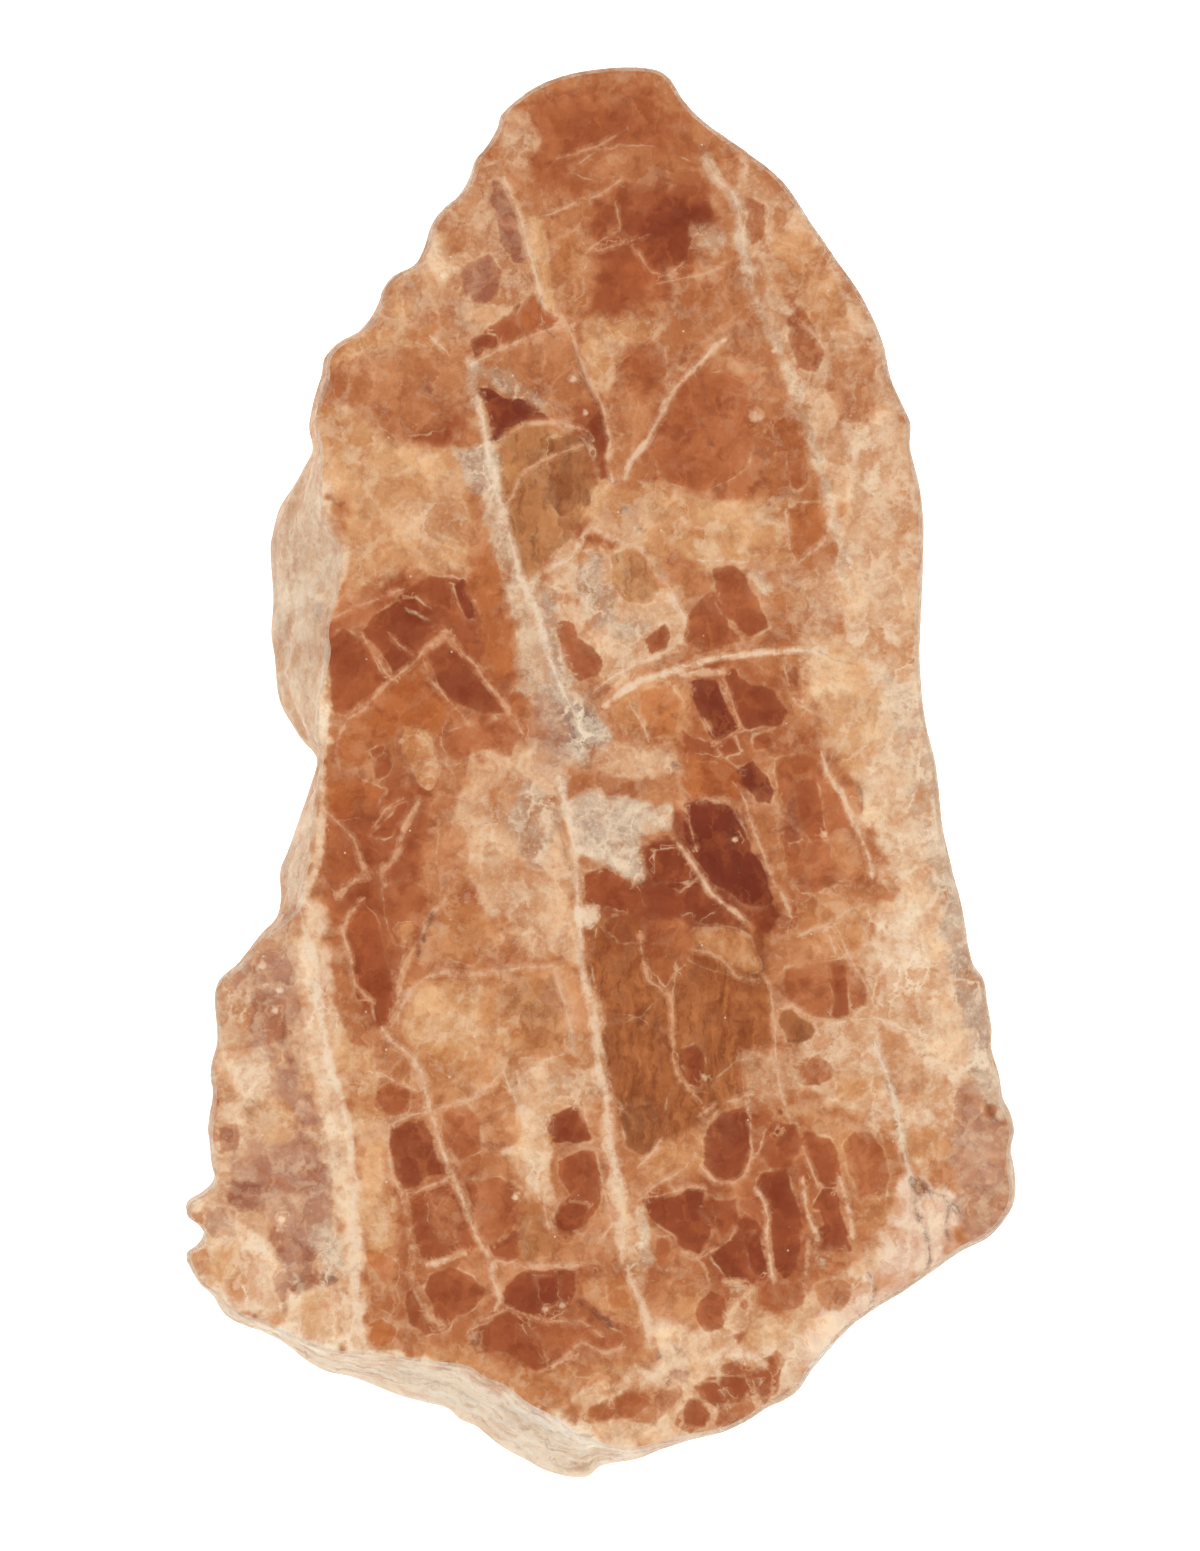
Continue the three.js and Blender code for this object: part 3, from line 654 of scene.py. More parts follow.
# %% The belly: fibrous centre, amber block and the right side
BELLY_PATCHES = [
    ("fibre", 6, 0.7, [(597, 1030), (640, 1020), (668, 1035), (674, 1080), (660, 1115), (640, 1125),
        (615, 1095), (600, 1060)]),
    ("fibre", 5, 0.6, [(600, 920), (640, 912), (645, 960), (655, 1000), (640, 1015), (600, 1010),
        (592, 960)]),
    ("umber", 5, 0.8, [(622, 1108), (650, 1105), (662, 1120), (656, 1146), (644, 1156), (626, 1145)]),
    ("fibre", 7, 0.7, [(680, 960), (720, 975), (768, 985), (770, 1040), (735, 1060), (705, 1090),
        (690, 1082), (676, 1050), (674, 1000)]),
    ("amber", 6, 0.9, [(693, 930), (715, 925), (735, 928), (749, 940), (756, 955), (761, 970), (745, 973),
        (730, 968), (722, 956), (705, 951)]),
    ("rust", 8, 0.7, [(645, 925), (690, 915), (692, 950), (665, 985), (650, 970)]),
    ("wine", 4, 0.8, [(680, 1050), (698, 1045), (706, 1062), (702, 1084), (686, 1084), (678, 1068)]),
    ("honey", 8, 0.8, [(405, 1010), (420, 990), (450, 982), (480, 984), (478, 1060), (440, 1066),
        (420, 1056), (403, 1040)]),
    ("olive", 9, 0.6, [(505, 985), (555, 978), (566, 1030), (545, 1052), (505, 1050)]),
    ("honey", 5, 0.9, [(498, 1018), (520, 1015), (524, 1045), (505, 1052), (492, 1045)]),
    ("tan", 7, 0.8, [(500, 1062), (560, 1060), (598, 1070), (600, 1105), (560, 1104), (520, 1110)]),
    ("sand", 7, 0.9, [(522, 1105), (548, 1110), (552, 1160), (548, 1205), (528, 1180), (520, 1140)]),
    ("copper", 6, 0.8, [(375, 1040), (405, 1045), (412, 1072), (395, 1082), (375, 1070)]),
    ("honey", 6, 0.8, [(332, 1030), (350, 1028), (354, 1072), (342, 1080), (332, 1060)]),
    ("rust", 5, 0.8, [(378, 1088), (395, 1080), (410, 1092), (408, 1112), (390, 1116), (376, 1106)]),
    ("rust", 6, 0.8, [(440, 1112), (465, 1106), (482, 1118), (480, 1150), (460, 1158), (444, 1148)]),
    ("copper", 6, 0.8, [(478, 1090), (500, 1082), (516, 1100), (515, 1125), (492, 1128), (478, 1110)]),
    ("rust", 8, 0.8, [(785, 968), (830, 962), (866, 970), (868, 1005), (840, 1018), (800, 1012),
        (785, 998)]),
    ("wine", 5, 0.7, [(832, 962), (846, 960), (848, 1015), (834, 1016)]),
    ("umber", 4, 0.95, [(783, 1012), (790, 1008), (800, 1015), (810, 1022), (815, 1031), (810, 1039),
        (800, 1044), (787, 1043), (782, 1030), (779, 1021)]),
    ("rust", 4, 0.85, [(797, 1075), (805, 1060), (818, 1055), (829, 1065), (833, 1078), (820, 1086),
        (805, 1086)]),
    ("amber", 6, 0.85, [(835, 1072), (860, 1068), (870, 1090), (855, 1102), (838, 1098)]),
    ("amber", 8, 0.75, [(905, 1122), (940, 1125), (955, 1150), (930, 1165), (905, 1155)]),
    ("tan", 12, 0.6, [(742, 1050), (798, 1048), (800, 1095), (770, 1105), (745, 1090)]),
    ("cream", 8, 0.8, [(880, 900), (920, 905), (930, 960), (925, 1005), (890, 990), (872, 940)]),
    ("copper", 8, 0.6, [(880, 1030), (905, 1035), (930, 1080), (915, 1110), (890, 1100)]),
    ("amber", 8, 0.7, [(790, 905), (830, 895), (868, 905), (860, 950), (810, 955), (790, 935)]),
    ("ash", 6, 0.7, [(950, 870), (970, 950), (985, 1010), (998, 1090), (985, 1105), (965, 1040), (945, 950),
        (935, 880)]),
    ("mauve", 5, 0.75, [(955, 1085), (975, 1080), (985, 1130), (965, 1140), (955, 1120)]),
    ("mauve", 6, 0.85, [(962, 1143), (985, 1138), (1003, 1150), (1002, 1185), (985, 1195), (966, 1185)]),
    ("tan", 8, 0.6, [(962, 1185), (985, 1195), (1000, 1205), (990, 1225), (970, 1225), (960, 1205)]),
    ("tan", 5, 0.8, [(1000, 1190), (1012, 1165), (1014, 1200), (1004, 1214), (994, 1210)]),
]
print(len(BELLY_PATCHES), "patches on the belly")

# %% The foot: brick panes, deep windows and the amber rim
FOOT_PATCHES = [
    ("wine", 5, 0.85, [(390, 1130), (405, 1122), (425, 1120), (432, 1140), (438, 1160), (445, 1172),
        (430, 1175), (420, 1185), (405, 1190), (395, 1176), (391, 1152)]),
    ("brick", 5, 0.8, [(408, 1195), (425, 1190), (450, 1182), (459, 1200), (468, 1225), (475, 1245),
        (470, 1255), (455, 1250), (440, 1262), (425, 1262), (415, 1245), (412, 1225)]),
    ("copper", 7, 0.7, [(430, 1195), (452, 1190), (462, 1215), (455, 1240), (438, 1240), (430, 1220)]),
    ("brick", 5, 0.85, [(430, 1275), (450, 1268), (470, 1275), (486, 1290), (480, 1300), (470, 1308),
        (455, 1320), (445, 1330), (435, 1315), (430, 1300), (425, 1290)]),
    ("wine", 5, 0.6, [(405, 1290), (415, 1290), (420, 1305), (430, 1320), (440, 1332), (425, 1335),
        (410, 1325), (404, 1305)]),
    ("rust", 7, 0.8, [(464, 1180), (500, 1178), (520, 1190), (530, 1205), (525, 1225), (510, 1230),
        (495, 1245), (485, 1240), (478, 1222), (470, 1203)]),
    ("brick", 4, 0.85, [(488, 1245), (505, 1238), (515, 1229), (521, 1245), (518, 1258), (505, 1262),
        (492, 1255)]),
    ("olive", 8, 0.7, [(520, 1195), (545, 1215), (552, 1250), (535, 1262), (520, 1260)]),
    ("wine", 4, 0.95, [(548, 1125), (552, 1115), (565, 1108), (578, 1105), (585, 1120), (591, 1140),
        (575, 1144), (552, 1143)]),
    ("brick", 4, 0.9, [(555, 1160), (575, 1152), (594, 1150), (602, 1180), (600, 1200), (594, 1215),
        (580, 1231), (565, 1239), (555, 1235), (549, 1220), (558, 1207), (570, 1194), (560, 1180)]),
    ("wine", 4, 0.7, [(552, 1215), (568, 1203), (588, 1206), (582, 1226), (563, 1234), (554, 1228)]),
    ("copper", 8, 0.7, [(560, 1238), (600, 1235), (608, 1258), (575, 1262), (555, 1255)]),
    ("wine", 4, 0.95, [(528, 1270), (550, 1269), (576, 1270), (576, 1290), (566, 1308), (550, 1318),
        (535, 1322), (520, 1312), (505, 1305), (498, 1299), (505, 1290), (515, 1280)]),
    ("deep", 5, 0.6, [(538, 1278), (556, 1276), (556, 1300), (548, 1312), (540, 1298)]),
    ("rust", 5, 0.7, [(575, 1268), (598, 1266), (606, 1276), (590, 1280), (577, 1278)]),
    ("amber", 6, 0.9, [(580, 1282), (600, 1276), (632, 1278), (644, 1305), (646, 1325), (625, 1326),
        (603, 1312), (584, 1298)]),
    ("flame", 6, 0.5, [(608, 1288), (628, 1290), (630, 1310), (612, 1308)]),
    ("brick", 6, 0.85, [(473, 1330), (490, 1322), (505, 1311), (516, 1316), (526, 1326), (536, 1336),
        (541, 1350), (548, 1366), (535, 1372), (520, 1360), (505, 1352), (490, 1352), (478, 1355),
        (470, 1345)]),
    ("rust", 6, 0.85, [(525, 1324), (550, 1320), (576, 1325), (582, 1340), (566, 1352), (555, 1362),
        (548, 1368), (538, 1348)]),
    ("rust", 6, 0.85, [(576, 1310), (590, 1314), (610, 1328), (626, 1336), (620, 1347), (605, 1351),
        (590, 1352), (580, 1340)]),
    ("smoke", 4, 0.5, [(471, 1330), (480, 1330), (482, 1350), (474, 1354)]),
    ("copper", 6, 0.6, [(565, 1356), (600, 1354), (605, 1372), (575, 1376)]),
    ("flame", 4, 0.75, [(365, 1250), (375, 1248), (386, 1255), (398, 1263), (395, 1285), (385, 1285),
        (377, 1275), (370, 1265)]),
    ("honey", 7, 0.85, [(352, 1210), (365, 1195), (380, 1188), (396, 1200), (398, 1225), (394, 1246),
        (380, 1250), (368, 1245), (362, 1225)]),
    ("copper", 4, 0.85, [(372, 1286), (394, 1286), (399, 1300), (394, 1315), (380, 1310), (372, 1300)]),
    ("flame", 4, 0.8, [(371, 1322), (381, 1318), (395, 1330), (393, 1342), (376, 1348), (367, 1340),
        (367, 1328)]),
    ("wine", 5, 0.95, [(645, 1200), (660, 1198), (680, 1192), (690, 1188), (702, 1190), (702, 1205),
        (716, 1215), (712, 1235), (700, 1256), (685, 1249), (675, 1236), (660, 1225), (648, 1215),
        (642, 1208)]),
    ("brick", 5, 0.85, [(708, 1198), (735, 1200), (738, 1225), (720, 1236), (712, 1226), (705, 1210)]),
    ("wine", 5, 0.9, [(718, 1115), (735, 1108), (746, 1105), (751, 1150), (745, 1171), (735, 1181),
        (715, 1179), (703, 1166), (704, 1140), (709, 1125)]),
    ("rust", 4, 0.8, [(656, 1235), (668, 1238), (671, 1265), (663, 1273), (656, 1255)]),
    ("wine", 5, 0.95, [(735, 1228), (745, 1215), (756, 1222), (765, 1235), (769, 1260), (765, 1281),
        (745, 1286), (730, 1281), (720, 1265), (710, 1254), (721, 1245)]),
    ("deep", 6, 0.5, [(745, 1235), (760, 1235), (766, 1262), (758, 1276), (748, 1262)]),
    ("wine", 5, 0.95, [(760, 1172), (786, 1172), (794, 1190), (798, 1205), (801, 1225), (800, 1250),
        (796, 1270), (785, 1281), (775, 1270), (772, 1245), (770, 1225), (766, 1205), (757, 1190)]),
    ("brick", 7, 0.8, [(757, 1155), (772, 1120), (795, 1125), (803, 1150), (792, 1165), (770, 1168)]),
    ("brick", 5, 0.9, [(805, 1130), (830, 1140), (838, 1155), (841, 1175), (835, 1190), (820, 1181),
        (812, 1165), (803, 1146)]),
    ("wine", 4, 0.9, [(822, 1190), (836, 1190), (841, 1205), (843, 1220), (848, 1230), (846, 1240),
        (851, 1250), (835, 1252), (820, 1253), (812, 1246), (815, 1235), (825, 1225), (820, 1210),
        (812, 1208)]),
    ("rust", 5, 0.85, [(845, 1145), (852, 1133), (872, 1133), (881, 1148), (889, 1170), (886, 1196),
        (862, 1196), (848, 1176)]),
    ("amber", 7, 0.85, [(853, 1195), (885, 1196), (886, 1222), (866, 1238), (852, 1228)]),
    ("copper", 7, 0.8, [(670, 1256), (700, 1262), (710, 1285), (692, 1298), (672, 1290)]),
    ("brick", 4, 0.85, [(698, 1300), (710, 1290), (723, 1295), (726, 1315), (723, 1328), (705, 1331),
        (695, 1322)]),
    ("rust", 7, 0.8, [(752, 1285), (800, 1282), (806, 1305), (775, 1315), (752, 1308)]),
    ("tan", 6, 0.85, [(730, 1285), (755, 1286), (760, 1325), (742, 1335), (728, 1320)]),
    ("sand", 6, 0.7, [(652, 1330), (680, 1330), (684, 1358), (660, 1362)]),
    ("rust", 3, 0.7, [(733, 1334), (744, 1332), (748, 1342), (738, 1346)]),
    ("copper", 6, 0.8, [(818, 1284), (836, 1279), (852, 1285), (850, 1302), (840, 1312), (825, 1309),
        (816, 1298)]),
    ("copper", 6, 0.7, [(810, 1250), (845, 1252), (850, 1270), (820, 1275)]),
    ("honey", 8, 0.6, [(752, 1315), (800, 1312), (806, 1335), (770, 1345), (745, 1340)]),
    ("rust", 4, 0.8, [(583, 1416), (594, 1404), (606, 1402), (615, 1414), (606, 1422), (590, 1423)]),
    ("copper", 5, 0.85, [(612, 1400), (622, 1390), (642, 1387), (662, 1390), (666, 1410), (656, 1423),
        (630, 1423), (618, 1413)]),
    ("rust", 4, 0.8, [(674, 1425), (680, 1410), (690, 1400), (701, 1400), (708, 1411), (705, 1426),
        (690, 1433)]),
    ("wine", 4, 0.8, [(702, 1386), (715, 1384), (726, 1392), (731, 1400), (720, 1411), (709, 1405)]),
    ("brick", 5, 0.75, [(720, 1365), (735, 1360), (751, 1368), (761, 1380), (756, 1395), (740, 1401),
        (727, 1399), (721, 1385)]),
    ("brick", 4, 0.8, [(752, 1374), (764, 1364), (772, 1375), (772, 1396), (765, 1406), (757, 1391)]),
    ("rust", 4, 0.7, [(768, 1356), (775, 1347), (784, 1358), (785, 1366), (775, 1366), (768, 1363)]),
    ("mauve", 5, 0.7, [(661, 1376), (680, 1367), (694, 1368), (690, 1382), (668, 1387)]),
    ("brick", 4, 0.8, [(694, 1386), (716, 1376), (744, 1378), (750, 1390), (730, 1404), (704, 1402)]),
    ("brick", 4, 0.8, [(682, 1400), (700, 1398), (712, 1412), (704, 1428), (684, 1424)]),
    ("rust", 4, 0.8, [(716, 1408), (750, 1398), (756, 1410), (736, 1426), (716, 1426)]),
    ("rust", 4, 0.85, [(756, 1362), (776, 1354), (783, 1368), (778, 1396), (760, 1398)]),
    ("rust", 4, 0.8, [(586, 1410), (610, 1396), (648, 1390), (652, 1404), (630, 1418), (596, 1420)]),
    ("copper", 5, 0.8, [(654, 1392), (676, 1384), (684, 1392), (672, 1408), (656, 1410)]),
]
print(len(FOOT_PATCHES), "patches on the foot")

# %% The left lobe and the rough wall
LOBE_PATCHES = [
    ("mauve", 8, 0.7, [(258, 950), (292, 945), (300, 1000), (292, 1050), (262, 1040), (250, 990)]),
    ("rust", 7, 0.5, [(262, 1005), (285, 1000), (290, 1040), (268, 1045)]),
    ("sand", 7, 0.7, [(225, 995), (250, 990), (252, 1040), (232, 1050)]),
    ("cream", 6, 0.8, [(222, 1052), (262, 1048), (276, 1075), (262, 1100), (235, 1095)]),
    ("mauve", 4, 0.9, [(275, 1065), (290, 1060), (297, 1070), (300, 1090), (315, 1115), (326, 1121),
        (310, 1126), (300, 1116), (285, 1100), (275, 1095), (268, 1085)]),
    ("honey", 5, 0.7, [(256, 1104), (280, 1098), (296, 1115), (292, 1142), (268, 1146), (254, 1130)]),
    ("sand", 6, 0.8, [(212, 1102), (245, 1100), (250, 1140), (230, 1160), (212, 1150)]),
    ("plum", 5, 0.7, [(216, 1126), (236, 1124), (240, 1148), (220, 1152)]),
    ("mauve", 9, 0.85, [(228, 1158), (300, 1150), (332, 1170), (332, 1232), (300, 1240), (262, 1215),
        (232, 1200)]),
    ("plum", 6, 0.7, [(230, 1180), (260, 1184), (263, 1201), (245, 1214), (228, 1204)]),
    ("mauve", 5, 0.9, [(268, 1213), (285, 1208), (302, 1212), (305, 1238), (318, 1246), (319, 1262),
        (308, 1271), (298, 1268), (290, 1285), (286, 1316), (278, 1300), (270, 1275), (285, 1258),
        (282, 1232)]),
    ("plum", 4, 0.6, [(300, 1243), (316, 1244), (318, 1260), (304, 1264)]),
    ("honey", 6, 0.7, [(214, 1245), (240, 1240), (246, 1285), (222, 1288), (210, 1270)]),
    ("copper", 5, 0.8, [(189, 1250), (208, 1248), (211, 1274), (198, 1278), (188, 1264)]),
    ("frost", 5, 0.8, [(315, 1230), (346, 1232), (346, 1268), (322, 1272), (312, 1255)]),
    ("smoke", 3, 0.95, [(317, 1268), (330, 1270), (337, 1281), (328, 1286), (320, 1279)]),
    ("smoke", 3, 0.45, [(292, 1280), (302, 1279), (304, 1290), (295, 1293)]),
    ("mauve", 5, 0.6, [(205, 1208), (232, 1206), (236, 1236), (214, 1240), (206, 1228)]),
    ("honey", 7, 0.7, [(300, 1290), (330, 1290), (332, 1335), (305, 1335)]),
    ("copper", 7, 0.5, [(335, 1305), (352, 1302), (350, 1335), (336, 1338)]),
    ("milk", 5, 0.8, [(292, 572), (310, 570), (316, 588), (308, 600), (290, 612), (284, 600)]),
    ("copper", 5, 0.6, [(308, 602), (325, 600), (326, 622), (312, 628)]),
    ("tan", 5, 0.7, [(328, 505), (340, 520), (342, 590), (330, 605), (324, 560)]),
    ("tan", 6, 0.5, [(274, 600), (300, 610), (305, 640), (292, 660), (275, 655)]),
    ("honey", 5, 0.6, [(302, 640), (322, 650), (322, 705), (310, 700)]),
    ("sand", 5, 0.7, [(276, 655), (300, 670), (308, 720), (318, 750), (305, 742), (285, 705)]),
    ("milk", 4, 0.8, [(312, 700), (330, 705), (326, 760), (316, 755)]),
    ("ash", 4, 0.6, [(278, 800), (298, 812), (292, 860), (284, 905), (276, 890)]),
]
print(len(LOBE_PATCHES), "patches on the lobe and the wall")

# %% [markdown]
# ## Bands and lines
# Veins formed where hot water filled the cracks between the garnet blocks, so they run along block borders.
# Wide ones are bands, laid as a tone with a half width. Thin ones are kept as a distance to the nearest
# traced line. It changes evenly from point to point, so the shader can draw a line much finer than the mesh.
# Some veins are both: a wide soft band with a fine bright line inside. Of these, the bars part the deep
# windows of the foot, and the sail is the red pane on the right.

# %% Veins that are a band and a fine line at once
FOOT_VEIN = [(383, 1030), (395, 1045), (410, 1055), (420, 1070), (425, 1090), (430, 1110), (437, 1130),
    (442, 1150), (450, 1170), (458, 1190), (465, 1205), (470, 1220), (475, 1235), (482, 1245), (488, 1255),
    (492, 1265), (493, 1280), (497, 1290), (500, 1300), (495, 1310)]
ARC = [(605, 705), (625, 690), (640, 680), (660, 675), (680, 668), (700, 662), (720, 657), (745, 655),
    (770, 652), (800, 650)]
RIGHT_CORNER_VEIN = [(875, 1045), (885, 1070), (893, 1095), (898, 1115), (903, 1150), (912, 1180)]
SAIL_EDGE = [(822, 755), (828, 775), (840, 790), (848, 810), (858, 830), (868, 855), (872, 875)]
DARK_PANE_VEIN = [(680, 845), (690, 860), (700, 875), (710, 892), (725, 905), (745, 920)]
FIRST_BAR = [(757, 1190), (765, 1205), (768, 1220), (766, 1240), (770, 1260), (773, 1280)]
SECOND_BAR = [(803, 1180), (805, 1200), (808, 1215), (815, 1230), (818, 1240)]
THIRD_BAR = [(840, 1180), (845, 1195), (850, 1215), (852, 1235)]
LOBE_VEIN = [(300, 905), (303, 925), (310, 945), (315, 965), (315, 985), (320, 1010), (325, 1040),
    (330, 1065), (338, 1090), (345, 1115), (350, 1140), (352, 1165), (358, 1185)]
MIDDLE_VEIN = [(560, 780), (570, 830), (575, 850), (578, 905), (580, 930), (580, 960), (587, 990)]
BELLY_VEIN = [(587, 990), (593, 1010), (597, 1040), (600, 1075), (605, 1090), (610, 1150), (618, 1180)]
print("the longest, at the foot, has", len(FOOT_VEIN), "points")

# %% Bands: tone, softness, strength, half width in pixels, line
BANDS = [
    ("frost", 5, 0.55, 6, [(705, 160), (718, 180), (735, 195), (745, 260), (755, 300), (775, 340),
        (790, 370), (805, 420), (815, 450), (825, 480), (835, 520), (840, 550), (848, 590)]),
    ("frost", 5, 0.75, 4, [(470, 360), (478, 400), (485, 430), (487, 450), (495, 480), (520, 575),
        (535, 610), (545, 640), (550, 660), (560, 685), (575, 715)]),
    ("frost", 5, 0.6, 4, MIDDLE_VEIN),
    ("sand", 5, 0.75, 7, BELLY_VEIN),
    ("sand", 5, 0.75, 9, [(618, 1180), (624, 1220), (626, 1245), (630, 1268)]),
    ("sand", 4, 0.7, 4.5, [(632, 1270), (640, 1300), (645, 1315), (648, 1330), (650, 1345)]),
    ("frost", 4, 0.8, 6, [(640, 1212), (645, 1240), (646, 1262)]),
    ("cream", 4, 0.45, 3.5, LOBE_VEIN),
    ("sand", 5, 0.8, 9, [(352, 1190), (351, 1240), (352, 1270), (354, 1300), (360, 1345)]),
    ("tan", 3, 0.5, 2.2, FOOT_VEIN),
    ("blush", 3, 0.75, 2.5, [(725, 340), (715, 345), (705, 358), (690, 372), (675, 388), (668, 400),
        (662, 412), (655, 425), (648, 440), (640, 450), (630, 462), (625, 478)]),
    ("cream", 3, 0.75, 2.5, ARC),
    ("cream", 4, 0.8, 3, [(680, 674), (700, 672), (724, 672)]),
    ("ash", 3, 0.7, 3.5, RIGHT_CORNER_VEIN),
    ("sand", 5, 0.6, 3, [(405, 1205), (410, 1230), (415, 1255), (410, 1275), (415, 1290), (425, 1305),
        (432, 1320), (445, 1328)]),
    ("sand", 4, 0.6, 2.5, [(420, 800), (412, 815), (403, 830), (400, 845), (395, 860), (380, 872),
        (385, 885)]),
    ("sand", 3, 0.7, 2.5, [(340, 895), (355, 880), (365, 877)]),
    ("sand", 3, 0.6, 2.5, [(445, 900), (430, 915), (420, 940), (410, 955), (403, 970), (400, 985),
        (398, 1010), (390, 1028)]),
    ("sand", 3, 0.8, 2, SAIL_EDGE),
    ("sand", 3, 0.7, 2, DARK_PANE_VEIN),
    ("sand", 3, 0.8, 2.5, [(425, 1262), (435, 1264), (450, 1258), (465, 1252)]),
    ("sand", 4, 0.7, 4, [(575, 1400), (600, 1390), (625, 1385), (650, 1380), (665, 1370)]),
    ("sand", 3, 0.8, 3.5, [(680, 1365), (700, 1362), (720, 1355), (740, 1355), (755, 1360), (765, 1365)]),
    ("tan", 3, 0.8, 2, FIRST_BAR),
    ("tan", 3, 0.8, 2, SECOND_BAR),
    ("tan", 3, 0.7, 2, [(808, 1240), (806, 1275)]),
    ("tan", 3, 0.8, 2, THIRD_BAR),
    ("honey", 4, 0.8, 4, [(700, 1345), (735, 1343), (770, 1345)]),
    ("cream", 4, 0.8, 4, [(322, 765), (322, 800), (320, 830), (316, 870), (304, 900)]),
    ("sand", 4, 0.8, 5, [(505, 1150), (530, 1150), (545, 1180), (552, 1200)]),
    ("honey", 4, 0.6, 4, [(505, 180), (520, 215), (527, 240), (538, 290), (545, 305)]),
    ("mauve", 4, 0.6, 5, [(545, 1000), (556, 975), (562, 990), (570, 1020), (572, 1048)]),
]
print(len(BANDS), "bands")

